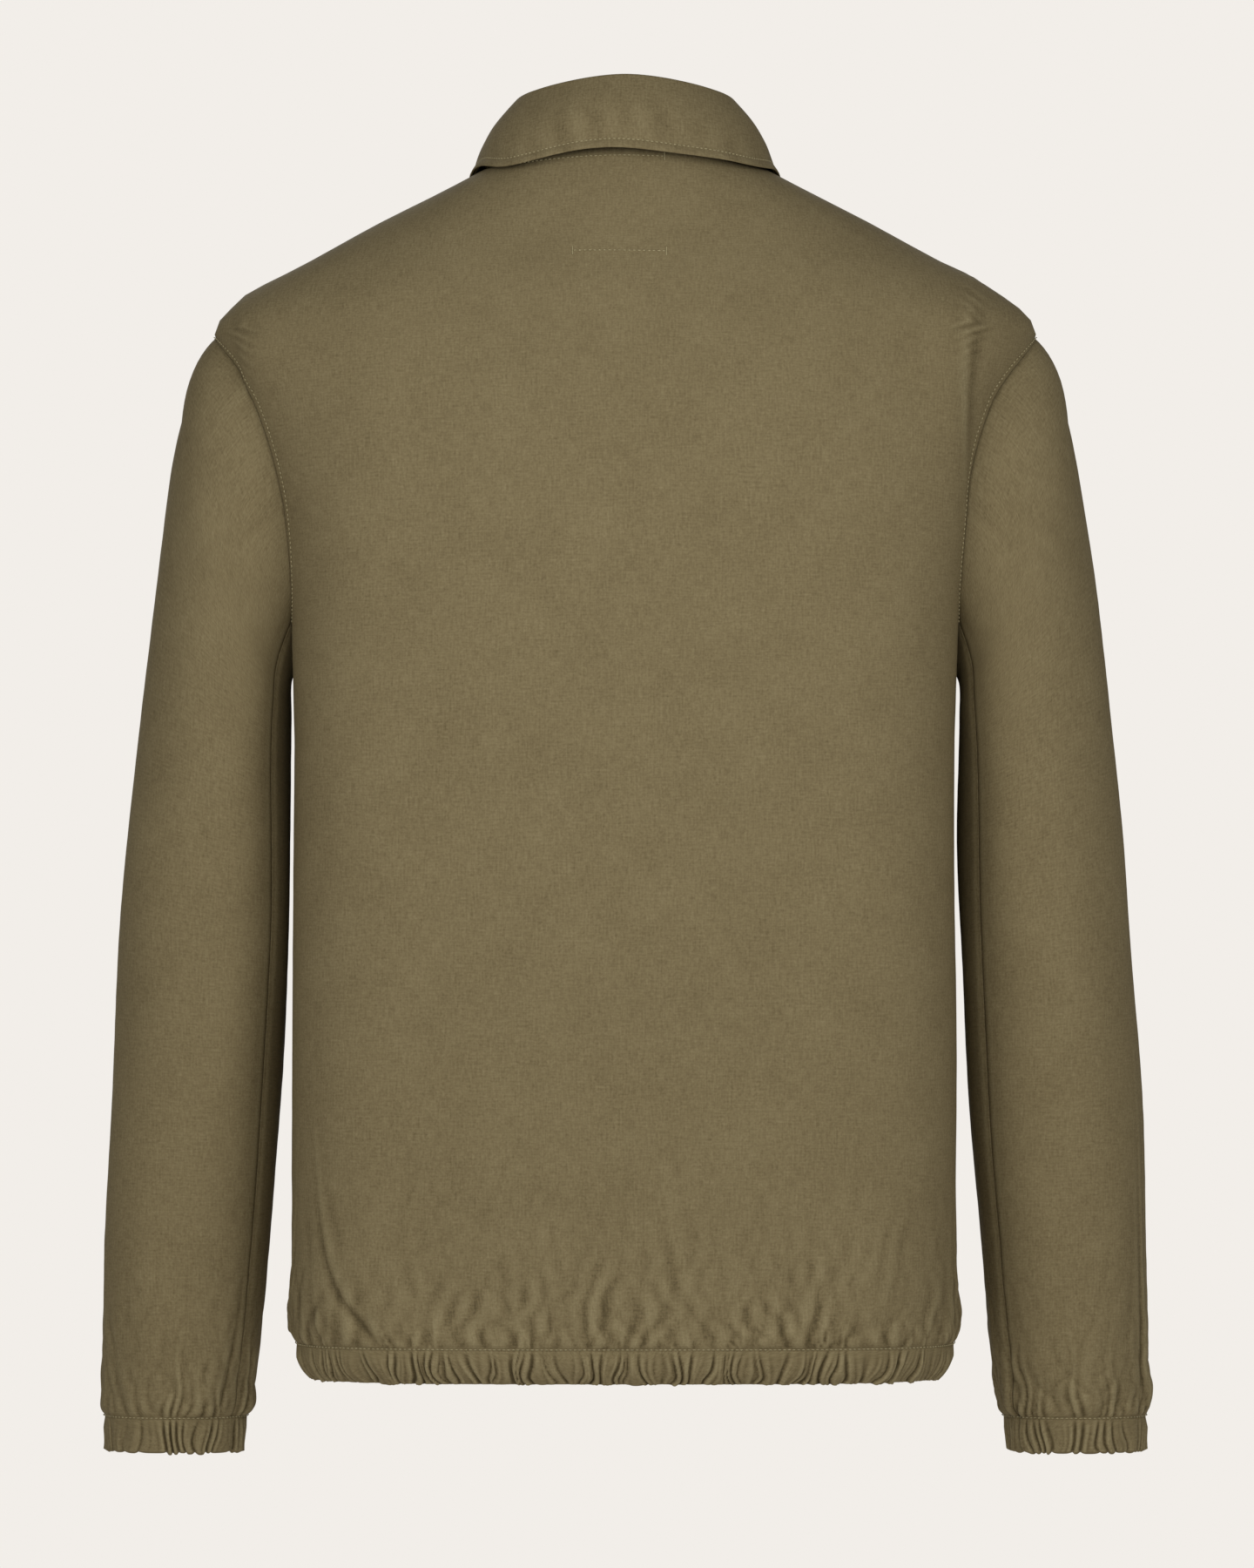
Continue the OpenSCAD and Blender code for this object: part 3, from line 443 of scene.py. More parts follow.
def cloth(name, columns, rows, place, material, thickness=0.7):
    """A sheet of cloth: a grid that place moves to its shape, with a map in metres.
    Its thickness, in millimetres, is added inwards."""
    bm = bmesh.new()
    layer = bm.loops.layers.uv.new("UVMap")
    bmesh.ops.create_grid(bm, x_segments=columns, y_segments=rows, size=0.5)
    bm.verts.ensure_lookup_table()
    flat = np.array([v.co for v in bm.verts])
    u, v = flat[:, 0] + 0.5, flat[:, 1] + 0.5
    points = place(u, v, 0.0)
    outward = place(u, v, 1.0) - points
    for vertex, point in zip(bm.verts, points):
        vertex.co = point
    order = np.lexsort((u, v))
    grid = points[order].reshape(rows + 1, columns + 1, 3)
    # This share becomes painted shade in the sheet's creases and painted light on its ridges.
    relief = np.empty(len(points))
    relief[order] = relief_share(grid, unit(outward[order]).reshape(grid.shape)).ravel()
    # The map's two directions are the real lengths along the sheet's rows and columns.
    across = np.linalg.norm(np.diff(grid, axis=1), axis=2).cumsum(axis=1)
    along = np.linalg.norm(np.diff(grid, axis=0), axis=2).mean(axis=1).cumsum()
    across = np.pad(across, ((0, 0), (1, 0)))
    across -= across[:, -1:] / 2
    along = np.concatenate([[0], along])
    column = np.rint(u * columns).astype(int)
    row = np.rint(v * rows).astype(int)
    for face in bm.faces:
        face.smooth = True
        for loop in face.loops:
            i = loop.vert.index
            loop[layer].uv = (across[row[i], column[i]], along[row[i]])
    bm.normal_update()
    bm.verts.ensure_lookup_table()
    # A folded sheet faces both ways, so only its first, outer layer is asked.
    first = [i for i in range(0, len(points), 3) if u[i] < 0.4 and 0.2 < v[i] < 0.4]
    if sum(bm.verts[i].normal.dot(Vector(outward[i])) for i in first) < 0:
        bmesh.ops.reverse_faces(bm, faces=bm.faces)
    piece = add_object(name + CLOTH, bm, material)
    piece.data.attributes.new("relief", "FLOAT", "POINT").data.foreach_set("value", relief)
    wall = piece.modifiers.new("thickness", "SOLIDIFY")
    wall.thickness = thickness * MM
    wall.offset = -1
    return piece


def stands_for(piece):
    """The piece replaces the CAD node whose name it has."""
    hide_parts(piece.name.removesuffix(CLOTH))


def row_level(v, low=SEAM_RING, high=NECK_RING, crowd=1.5, column=2):
    """The level of a sheet's row: from the hem seam, v 0, to the neck seam. The rows are
    crowded at the hem, and even by height in the rings' column: back 2, front 4."""
    heights, numbers = RINGS[:, column], range(len(RINGS))
    ends = [np.interp(level, numbers, heights) for level in (low, high)]
    return np.interp(mix(*ends, v**crowd), heights, numbers)


back_turns = np.linspace(-90, 90, 361)
back_shares, _ = even(body(back_turns, 3.0))


def back_place(u, v, lift):
    level = row_level(v)
    turn = np.interp(u, back_shares, back_turns) / 90 * side_turn(level, False)
    return shell(turn, level, lift)


back = cloth("back_panel", 300, 150, back_place, olive)
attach(back, "torso")
stands_for(back)

# ---- Fronts ----
# Each front is one cut of the same cloth, from the shoulder to the hem. It is faced along
# its edge.
FRONT_EDGE = 12.5
SIDES = ((1, "left"), (-1, "right"))


def flap_blend(piece):
    """Bakes the piece's placement into its mesh."""
    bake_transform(piece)


def front_place(side):
    def place(u, v, lift):
        level = row_level(v, column=4)
        start, end = side_turn(level, True), turn_across(FRONT_EDGE, level, True)
        return shell(side * mix(start, end, u), level, lift)

    return place


for side, hand in SIDES:
    front = cloth(f"front_{hand}", 170, 150, front_place(side), olive)
    flap_blend(front)
    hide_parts(f"front_panel_{hand}", f"front_flap_{hand}")

# ---- Hem ----
# The hem band is a folded strip of the same cloth round a 17 mm elastic. The elastic is
# sewn in stretched, so that the cloth gathers into short, sharp pleats.
# The casing's two layers are 4.3 mm apart at the foot, and the elastic lies between them.
CASING = 4.3
ELASTIC_DEPTH = 1.6
# The elastic's lower and upper edge, as levels of the body.
ELASTIC_LOW, ELASTIC_HIGH = 0.17, 0.84


def casing_path(v, inner):
    """Level share and depth along a band: down its face, round its foot and up inside."""
    stops = [0, 0.5, 0.6, 0.7, 1]
    height = np.interp(v, stops, [1, 0.12, 0, 0.12, 1])
    depth = np.interp(v, stops, [0, 0, 0.5, 1, 1]) * inner
    return height, depth


def band_swell(height, v):
    """How much of a pleat shows: none at the band's seam, and little on its inner layer."""
    face = np.clip((1 - height) * 5, 0, 1) * np.clip(height * 5 + 0.35, 0, 1)
    return face * np.where(v < 0.5, 1, 0.3)


def hem_place(start, end):
    def place(u, v, lift):
        height, depth = casing_path(v, CASING)
        turn = mix(start, end, u)
        along = around(turn)
        wander = hem_wander(along, (HEM - HEM_SEAM) * (1 - height))
        pleat, _ = puffs(wander, crisp=4.5, **HEM_PLEATS)
        fine, _ = puffs(wander + along / 7, 5, 2.5, 6)
        stand = 0.2 + band_swell(height, v) * (3.4 * pleat + 0.8 * fine - 1.6)
        level = np.clip(height * 1.01, 0, 1.01)
        p, out = body(turn, level), body_out(turn, level)
        return (p + out * (stand - depth + lift)[:, None] + SHIFT) * MM

    return place


def elastic_place(start, end):
    def place(u, v, lift):
        level = mix(ELASTIC_LOW, ELASTIC_HIGH, v)
        turn = mix(start, end, u)
        p, out = body(turn, level), body_out(turn, level)
        return (p + out * (lift - ELASTIC_DEPTH) + SHIFT) * MM

    return place


white_tones = ["#9b978b", "#b9b5aa", "#d2cec2", "#e2ded3", "#eeebe2"]
webbing = cloth_material("white_knitted_elastic", white_tones, yarn_mm=1.2)
front_end = turn_across(FRONT_EDGE, 0.5, True)[0]
for hand, start, end, columns in (
    ("back", -90, 90, 900),
    ("left", 90, front_end, 330),
    ("right", -90, -front_end, 330),
):
    band = cloth(f"hem_band_{hand}", columns, 34, hem_place(start, end), olive, thickness=0.6)
    core = cloth(f"hem_elastic_{hand}", columns // 8, 6, elastic_place(start, end), webbing, 1.1)
    for piece, finish in ((band, "olive_cotton"), (core, "elastic_webbing")):
        if hand == "back":
            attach(piece, "torso")
        else:
            flap_blend(piece)
        stands_for(piece)
    width = abs(around(end) - around(start)) * MM

# ---- Sleeves ----
# Each sleeve is cut in two, an upper and an under sleeve, joined by a fore and a hind
# seam. Its head is set in the armhole, and the foot is gathered into the cuff.
SLEEVE_LENGTH, CUFF_GAP, SLEEVE_DEPTH = 645, 30, 128
SLEEVE_FORWARD, CUFF_WIDTH, CUFF_HEIGHT = 34, 82, 21
ARMHOLE_GAP, SLEEVE_CLEAR, SLEEVE_SQUARE = 2, 3, 2.2
# Turns round the sleeve are in degrees from its outside, by way of the back.
HIND_SEAM, FORE_SEAM = 142, 225
CUFF_SEAM = TIP - SLEEVE_LENGTH + CUFF_HEIGHT
CUFF_RING, CUFF_EDGE = 7, 8
# Each ring of the sleeve: [outer x, outer z, inner x, inner z, depth, forward], as
# shares of the way from the armhole to the cuff seam. The last has its own heights.
SLEEVE_RINGS = [
    [0.29, 0.077, 0, 0.023, 0.906, 0.09],
    [0.48, 0.189, 0, 0.058, 0.97, 0.18],
    [0.634, 0.318, 0.02, 0.116, 1, 0.27],
    [0.824, 0.51, 0.04, 0.326, 0.97, 0.42],
    [0.947, 0.703, 0.25, 0.58, 0.875, 0.6],
    [1.008, 0.896, 0.65, 0.85, 0.75, 0.85],
    [1, 1, 1, 1, 0.5625, 0.97],
    [0.995, None, 1.1, None, 0.53, 1],
]


def armhole_at(turn):
    """Where a turn round the sleeve meets the armhole: the body's turn and level."""
    c, s = np.cos(np.radians(turn)), np.sin(np.radians(turn))
    level = mix(UNDERARM_RING, TIP_RING, (1 + c) / 2)
    return np.where(s < 0, side_turn(level, True), side_turn(level, False)), level


def sleeve_rings(turn):
    """The sleeve's nine rings at each turn round it, from the armhole to the cuff's edge."""
    c, s = np.cos(np.radians(turn)), np.sin(np.radians(turn))
    at, level = armhole_at(turn)
    rings = [body(at, level) + ARMHOLE_GAP * body_out(at, level)]
    n = SLEEVE_SQUARE
    k = (np.abs(c) ** n + np.abs(s) ** n) ** (-1 / n)
    foot = CHEST + CUFF_GAP + CUFF_WIDTH
    for ox, oz, ix, iz, depth, forward in SLEEVE_RINGS:
        outer = mix(SHOULDER, foot, ox)
        inner = mix(CHEST + SLEEVE_CLEAR, foot - CUFF_WIDTH, ix)
        high = CUFF_SEAM - CUFF_HEIGHT if oz is None else mix(TIP, CUFF_SEAM, oz)
        low = CUFF_SEAM - CUFF_HEIGHT if iz is None else mix(UNDERARM, CUFF_SEAM, iz)
        rings.append(
            np.stack(
                [
                    (outer + inner) / 2 + (outer - inner) / 2 * c * k,
                    SLEEVE_DEPTH / 2 * depth * s * k - SLEEVE_FORWARD * forward,
                    (high + low) / 2 + (high - low) / 2 * c * k,
                ],
                axis=1,
            )
        )
    return np.array(rings)


def sleeve(turn, level):
    return through(sleeve_rings(turn), level)


def sleeve_out(turn, level):
    """The direction straight out of the sleeve's surface."""
    low, high = np.maximum(level - 0.04, 0), np.minimum(level + 0.04, CUFF_EDGE)
    along = sleeve(turn, low) - sleeve(turn, high)
    return unit(np.cross(sleeve(turn + 2, level) - sleeve(turn - 2, level), along))


# The cuff is about 223 mm round.
CUFF_MM_PER_DEGREE = 0.62


def cuff_pleats(side, round_mm, height):
    """Places in the cuff's pleats, which run up and down but not quite straight."""
    wander = round_mm + 1.5 * np.sin(round_mm / 7 + height / 6) + np.sin(round_mm / 3)
    return wander, {"seed": 20 + side, "short": 4, "long": 14}


def sleeve_skin(side):
    """The sleeve's surface with its folds, in metres, for one side."""

    def place(turn, level, lift=0.0):
        turn, level = np.broadcast_arrays(np.atleast_1d(turn).astype(float), level)
        p, out = sleeve(turn, level), sleeve_out(turn, level)
        height = np.maximum(p[:, 2] - CUFF_SEAM, 0)
        round_mm = (turn % 360) * CUFF_MM_PER_DEGREE
        wander, pleats = cuff_pleats(side, round_mm, height)
        small, reach = puffs(wander, crisp=2.6, **pleats)
        lean = 4 * np.sin(round_mm / 17 + side)
        large, long_reach = puffs(round_mm + lean * height / 15, 30 + side, 14, 34)
        mirrored = p * [side, 1, 1]
        crumple = np.abs(ripple(mirrored * [1, 1, 0.7], 34, 44))
        crumple += 0.5 * np.abs(ripple(mirrored, 17, 45))
        rise = 1 - np.exp(-height / 2)
        stand = 3.2 * small * np.exp(-height / (14 * reach))
        stand += 5.2 * large * np.exp(-height / (34 * long_reach)) * (1 - np.exp(-height / 9))
        stand += 5.0 * crumple * np.exp(-height / 34) * (1 - np.exp(-height / 6))
        stand *= rise
        fade = np.clip(level / 1.5, 0, 1) * np.clip((p[:, 2] - CUFF_SEAM) / 40, 0, 1)
        stand += fade * 1.6 * ripple(mirrored * [1, 1, 0.45], 80, 41)
        stand += fade * 0.1 * ripple(mirrored * [1, 1, 1.6], 30, 42)
        # The head is eased into the armhole, and rounds out just below it.
        outside = np.clip(np.cos(np.radians(turn)), 0, 1)
        stand += 3.5 * np.sin(np.pi * np.clip(level, 0, 1)) * outside
        for seam in (HIND_SEAM, FORE_SEAM):
            away = ((turn - seam + 180) % 360 - 180) * CUFF_MM_PER_DEGREE
            stand -= 0.9 * np.exp(-((away / 1.8) ** 2))
        p = p + out * (stand + lift)[:, None]
        # The head is sewn inside the edge of the armhole, and follows its folds.
        at, high = armhole_at(turn)
        edge = (shell(side * at, high, lift - 0.9) / MM - SHIFT) * [side, 1, 1]
        sewn = np.clip(1 - level / 0.9, 0, 1)[:, None] ** 2
        start = sleeve(turn, np.zeros(len(turn))) + sleeve_out(turn, 0 * turn) * lift
        p = p + (edge - start) * sewn
        return (p * [side, 1, 1] + SHIFT) * MM

    return place


down_shares = [0] + [ring[1] for ring in SLEEVE_RINGS[:CUFF_RING]]
# The sleeve's foot is tucked a little way into the cuff.
CUFF_TUCK = 1.004
CUFF_ELASTIC_LOW, CUFF_ELASTIC_HIGH = 7.84, 7.12


def sleeve_level(v):
    """Rows from the cuff seam, v 0, up to the armhole, closest together at the cuff."""
    return np.interp(1 - v**1.5, down_shares, range(CUFF_RING + 1)) * CUFF_TUCK


def sleeve_part(skin, start, end):
    def place(u, v, lift):
        return skin(mix(start, end, u), sleeve_level(v), lift)

    return place


def cuff_place(side):
    def place(u, v, lift):
        height, depth = casing_path(v, CASING)
        turn = 360 * u
        level = CUFF_EDGE - height * 1.01
        round_mm = turn * CUFF_MM_PER_DEGREE
        wander, pleats = cuff_pleats(side, round_mm, -CUFF_HEIGHT * (1 - height))
        pleat, _ = puffs(wander, crisp=3.2, **pleats)
        fine, _ = puffs(wander, 50 + side, 2.5, 6)
        join = np.clip(np.minimum(u, 1 - u) * 60, 0, 1)
        stand = 0.2 + join * band_swell(height, v) * (3.4 * pleat + 0.6 * fine - 1.6)
        p, out = sleeve(turn, level), sleeve_out(turn, level)
        p[:, 2] += (0.9 - 2.0 * pleat * join) * (1 - height)
        p = p + out * (stand - depth + lift)[:, None]
        return (p * [side, 1, 1] + SHIFT) * MM

    return place


def cuff_elastic_place(side):
    def place(u, v, lift):
        turn, level = 360 * u, mix(CUFF_ELASTIC_LOW, CUFF_ELASTIC_HIGH, v)
        p = sleeve(turn, level) + sleeve_out(turn, level) * (lift - ELASTIC_DEPTH)
        return (p * [side, 1, 1] + SHIFT) * MM

    return place


skins = {side: sleeve_skin(side) for side in (1, -1)}
# The two parts of a sleeve meet at its seams, 0.2 degrees of turn from each one's middle:
# name, columns, first and last turn, flat width and area.
SEAM_TURN = 0.2
SLEEVE_PARTS = (
    ("upper", 210, FORE_SEAM - 360, HIND_SEAM, 0.36, 0.155),
    ("under", 80, HIND_SEAM, FORE_SEAM, 0.10, 0.040),
)
for side, hand in SIDES:
    start = Vector((side * CHEST * MM, 0, (UNDERARM + SHIFT[2]) * MM))
    for part, columns, first, last, width, area in SLEEVE_PARTS:
        place = sleeve_part(skins[side], first + SEAM_TURN, last - SEAM_TURN)
        piece = cloth(f"{part}_sleeve_{hand}", columns, 190, place, olive)
        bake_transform(piece)
        stands_for(piece)
    band = cloth(f"cuff_band_{hand}", 460, 34, cuff_place(side), olive, thickness=0.6)
    core = cloth(f"cuff_elastic_{hand}", 72, 6, cuff_elastic_place(side), webbing, 1.1)
    for piece, finish in ((band, "olive_cotton"), (core, "elastic_webbing")):
        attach(piece, f"{hand}_sleeve")
        stands_for(piece)

# ---- Facings ----
# Each facing is a strip of the shell cloth inside the front edge. It backs the zip tape,
# and ends just below the collar.
FACING_WIDTH, FACING_DEPTH = 46, 2.3
FACING_TOP = NECK_RING - 0.2


def strip_place(side, outer, inner, low, high, lift_in):
    """A strip inside or outside a front, between two distances from the middle line."""

    def place(u, v, lift):
        level = row_level(v, low=low, high=high, crowd=1, column=4)
        far, near = (x(level) if callable(x) else x for x in (outer, inner))
        turn = turn_across(mix(far, near, u), level, True)
        return shell(side * turn, level, lift + lift_in)

    return place


for side, hand in SIDES:
    ends = (SEAM_RING + 0.01, FACING_TOP)
    place = strip_place(side, FACING_WIDTH, FRONT_EDGE, *ends, -FACING_DEPTH)
    facing = cloth(f"facing_{hand}", 24, 150, place, olive)
    flap_blend(facing)
    stands_for(facing)

# ---- Pockets ----
# A slanted welt pocket is let into each front. The welt is a folded strip of the shell
# cloth, and the bag behind it is one piece of thinner cotton folded in two.
POCKET_LENGTH, POCKET_INSET, POCKET_SLANT = 150, 96, 28
WELT_WIDTH, BAG_WIDTH = 24, 66
WELT_LOW = 1.75
ring_levels = np.linspace(0, NECK_RING, 1101)
front_heights = through(RINGS, ring_levels)[:, 4]
welt_foot = np.interp(WELT_LOW, ring_levels, front_heights)
WELT_HIGH = np.interp(welt_foot + POCKET_LENGTH, front_heights, ring_levels)


def pocket_x(level):
    """Where the pocket's slanted opening is, from the middle line."""
    return POCKET_INSET + POCKET_SLANT * (WELT_HIGH - level) / (WELT_HIGH - WELT_LOW)


def folded_place(side, open_edge, width, low, depths):
    """A strip folded along its open edge: u 0 to 0.5 is outside, 0.5 to 1 is behind."""

    def place(u, v, lift):
        level = mix(low, WELT_HIGH, v)
        share = np.clip(np.abs(u - 0.5) * 2.08 - 0.04, 0, 1)
        turn = turn_across(open_edge(level) + width * share, level, True)
        layer = np.interp(u, [0, 0.48, 0.52, 1], [depths[0], depths[0], depths[1], depths[1]])
        return shell(side * turn, level, lift + layer)

    return place


pocketing_tones = ["#352f20", "#4c4431", "#625841", "#73694f", "#867c61"]
pocketing = cloth_material("olive_cotton_pocketing", pocketing_tones, 0.8)
for side, hand in SIDES:
    welt_place = folded_place(side, pocket_x, WELT_WIDTH, WELT_LOW, (1.7, 0.5))
    welt = cloth(f"pocket_welt_{hand}", 60, 70, welt_place, olive, thickness=0.5)

    def bag_edge(level):
        return POCKET_INSET + WELT_WIDTH - BAG_WIDTH + 0 * level

    bag_wide = BAG_WIDTH + POCKET_SLANT
    bag_place = folded_place(side, bag_edge, bag_wide, WELT_LOW - 0.4, (-2.4, -3.6))
    bag = cloth(f"pocket_bag_{hand}", 48, 60, bag_place, pocketing, thickness=0.4)
    for piece, finish in ((welt, "olive_cotton"), (bag, "pocket_lining")):
        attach(piece, "torso")
        stands_for(piece)

# ---- Neck ----
# A cotton tape covers the seam inside the back of the neck. The hanging loop is the same
# tape, and its ends are sewn into it. A plain woven label hangs from the tape.
TAPE_DEPTH = 2.1
NECK_TAPE_HEIGHT, NECK_TAPE_TURN = 9, 84
LABEL_WIDTH, LABEL_HEIGHT = 53, 56
back_heights = through(RINGS, ring_levels)[:, 2]


def level_at(z):
    """The level at which the middle of the back is at height z."""
    return np.interp(z, back_heights, ring_levels)


def inside_place(x_or_turn, low_z, high_z, depth, by_turn=False):
    """A patch inside the back, between two distances from the middle, or two turns."""

    def place(u, v, lift):
        level = level_at(mix(low_z, high_z, v))
        across = mix(x_or_turn[0], x_or_turn[1], u)
        turn = across if by_turn else turn_across(across, level, False)
        return shell(turn, level, lift - depth)

    return place


tape_tones = ["#211d14", "#2f2a1f", "#3f3829", "#4e4635", "#5f5642"]
tape_cotton = cloth_material("olive_cotton_tape", tape_tones, 0.7, weave=0.9)
label_tones = ["#1f1f1a", "#2c2c25", "#363630", "#414139", "#4d4d44"]
label_satin = cloth_material("plain_woven_label", label_tones, 0.5, 0.55, 0.4)
care_tones = ["#b8b5aa", "#cfccc2", "#dcd9d0", "#e6e4dc", "#f0eee8"]
care_satin = cloth_material("white_satin_label", care_tones, 0.5, 0.5, 0.3)

tape_low = NECK_BACK_Z - NECK_TAPE_HEIGHT
neck_place = inside_place(
    (-NECK_TAPE_TURN, NECK_TAPE_TURN), tape_low, NECK_BACK_Z - 0.5, TAPE_DEPTH, by_turn=True
)
neck_tape = cloth("neck_tape", 120, 8, neck_place, tape_cotton, thickness=0.6)
label_x = (-LABEL_WIDTH / 2, LABEL_WIDTH / 2)
label_place = inside_place(label_x, tape_low - LABEL_HEIGHT, tape_low - 0.5, TAPE_DEPTH)
neck_label = cloth("neck_label", 40, 42, label_place, label_satin, thickness=0.5)

loop_low, loop_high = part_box("hanger_loop")
LOOP_THICK = 0.0006


def loop_place(u, v, lift):
    """A tape that bows forward between its sewn ends, with soft, slightly raised edges."""
    x = mix(loop_low.x, loop_high.x, u)
    bow = 1 - (x / loop_high.x) ** 2
    y = loop_high.y - LOOP_THICK - (loop_high.y - loop_low.y - 2 * LOOP_THICK) * bow
    z = mix(loop_low.z, loop_high.z, v) + 0.0003 * np.sin(u * 9)
    edge = 0.00012 * np.cos(v * 2 * math.pi)
    return np.stack([x, y - edge - lift * MM, z], axis=1)


loop = cloth("hanger_loop", 60, 8, loop_place, tape_cotton, thickness=0.6)
CARE_LOW, CARE_HIGH = 2.15, 2.5
CARE_WIDTH, CARE_FROM_SEAM, CARE_DEPTH = 14, 2, 3.9


def care_place(u, v, lift):
    """The care label is sewn in the left side seam, and lies inside the back."""
    level = mix(CARE_LOW, CARE_HIGH, v)
    seam = CHEST - CARE_FROM_SEAM
    turn = turn_across(mix(seam - CARE_WIDTH, seam, u), level, False)
    return shell(turn, level, lift - CARE_DEPTH)


care_label = cloth("care_label", 12, 30, care_place, care_satin, thickness=0.4)
for piece, finish, flat, area in (
    (neck_tape, "cotton_tape", (0.265, 0.010), 0.0026),
    (neck_label, "neck_label", (0.053, 0.057), 0.0030),
    (loop, "cotton_tape", (0.067, 0.010), 0.0005),
    (care_label, "care_label", (0.036, 0.055), 0.0019),
):
    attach(piece, "torso")
    stands_for(piece)

# ---- Collar ----
# The collar stands up from the neck seam and falls from a soft roll. Its upper and under
# collar are one layer of the shell cloth each, with a woven interlining between them.
# The outer edge is turned, pressed and stitched 5 mm in.
# Six stations go round each half of the neck, by their turns. At each, the stand has its
# height, its fold's share of the neck's width, and the way from seam to outer edge:
# [out, back, up].
STATIONS = [0, 45, 90, 125, 155, 176]
STAND_HEIGHT, POINT_DROP = 38, 56
STAND_HEIGHTS = np.array([1, 0.94, 0.78, 0.62, 0.4, 0.2]) * STAND_HEIGHT
STAND_LEAN = np.array([0.91, 0.84, 0.805, 0.89, 0.97, 0.99])
FALL_EDGES = [
    [0, 13, -2.5],
    [9, 9, -6.5],
    [8, 0, -5.5],
    [14.5, -11, -13],
    [28, -14, -0.54 * POINT_DROP],
    [38, -14, -POINT_DROP],
]
# The collar starts just above the neck seam, and its fall bulges between its edges.
COLLAR_BASE, ROLL, EDGE_STITCH = 1.4, 3.2, 5


def whole(rows):
    """Rows for the left half, from the middle of the back, continued to the right."""
    rows = np.asarray(rows, float)
    flip = [-1, 1, 1] if rows.shape[1] == 3 else [-1]
    return np.concatenate([rows[:0:-1] * flip, rows])


station_turns = whole(np.array(STATIONS, float)[:, None])
seam_points = body(np.array(STATIONS, float), float(NECK_RING)) + [0, 0, COLLAR_BASE]
lean = np.stack([STAND_LEAN, STAND_LEAN, np.ones(6)], axis=1)
fold_points = seam_points * lean + STAND_HEIGHTS[:, None] * [0, 0, 1]
edge_points = seam_points + FALL_EDGES
folds, edges = whole(fold_points), whole(edge_points)


def collar_seam(w):
    """The collar's seam. Each w is a station: 5 is the middle of the back, and 10 the end
    on the wearer's left."""
    return body(through(station_turns, w)[:, 0], float(NECK_RING)) + [0, 0, COLLAR_BASE]


def fall(w, v, lift):
    """The fallen collar in millimetres: v runs from the fold to the outer edge."""
    fold, edge = through(folds, w), through(edges, w)
    out = unit(edge * [1, 1, 0])
    drop = np.linalg.norm(edge - fold, axis=1)
    p = mix(fold, edge, v[:, None])
    inset = (1 - v) * drop
    swell = 0.3 * np.exp(-(((inset - EDGE_STITCH / 2) / 2.2) ** 2))
    groove = 0.5 * np.exp(-(((inset - EDGE_STITCH) / 0.8) ** 2))
    wave = 1.3 * ripple(p * [1, 1, 0.6], 60, 71) + 0.5 * ripple(p, 22, 72)
    stand = ROLL * np.sin(math.pi * np.minimum(1, 1.15 * v)) + 1.6
    stand += swell - groove + wave * np.clip(v * 2, 0, 1) * 0.8
    p[:, 2] += 2.2 * np.cos(math.pi / 2 * v) + 0.8 * np.sin(w * 5) * v
    return p + out * (stand + lift)[:, None]


# Across the sheet: up inside the neck, over the roll, down the fall and under the edge.
ROLL_PATH = np.array([[-2.5, -9], [-2.5, -3], [-2.0, 0.6], [-0.6, 2.5], [1.6, 2.2]])
ROLL_SHARE, EDGE_SHARE = 0.14, 0.93


def collar_place(u, v, lift):
    w = np.interp(u, [0, 0.008, 0.016, 0.984, 0.992, 1], [0.3, 0, 0.02, 9.98, 10, 9.7])
    end = np.interp(u, [0, 0.008, 0.016, 0.984, 0.992, 1], [1.4, 0.7, 0, 0, 0.7, 1.4])
    down = np.interp(v, [ROLL_SHARE, EDGE_SHARE, 0.94, 0.95, 1], [0, 1, 1.008, 1, 0.9])
    under = np.interp(v, [EDGE_SHARE, 0.94, 0.95, 1], [0, 0.7, 1.4, 1.5])
    p = fall(w, down, lift - np.maximum(end, under))
    in_roll = v < ROLL_SHARE
    roll = through(ROLL_PATH, np.clip(v / ROLL_SHARE, 0, 1) * (len(ROLL_PATH) - 1))
    fold = through(folds, w)
    out = unit(through(edges, w) * [1, 1, 0])
    rolled = fold + out * (roll[:, 0] + np.sign(roll[:, 0]) * lift - end)[:, None]
    rolled[:, 2] += roll[:, 1] + 0.3 * lift
    return (np.where(in_roll[:, None], rolled, p) + SHIFT) * MM


def under_place(lift_in, last):
    def place(u, v, lift):
        w = mix(0.15, 9.85, u)
        return (fall(w, mix(0.03, last, v), lift + lift_in) + SHIFT) * MM

    return place


def stand_place(u, v, lift):
    w = mix(0, 10, u)
    seam, fold = collar_seam(w), through(folds, w)
    out = unit(seam * [1, 1, 0])
    # Its foot is turned inside the neck seam, and hides it.
    foot = 2.2 * np.exp(-14 * v)
    p = mix(seam, fold, mix(-0.12, 1, v)[:, None]) + out * (lift + 0.5 - foot)[:, None]
    return (p + SHIFT) * MM


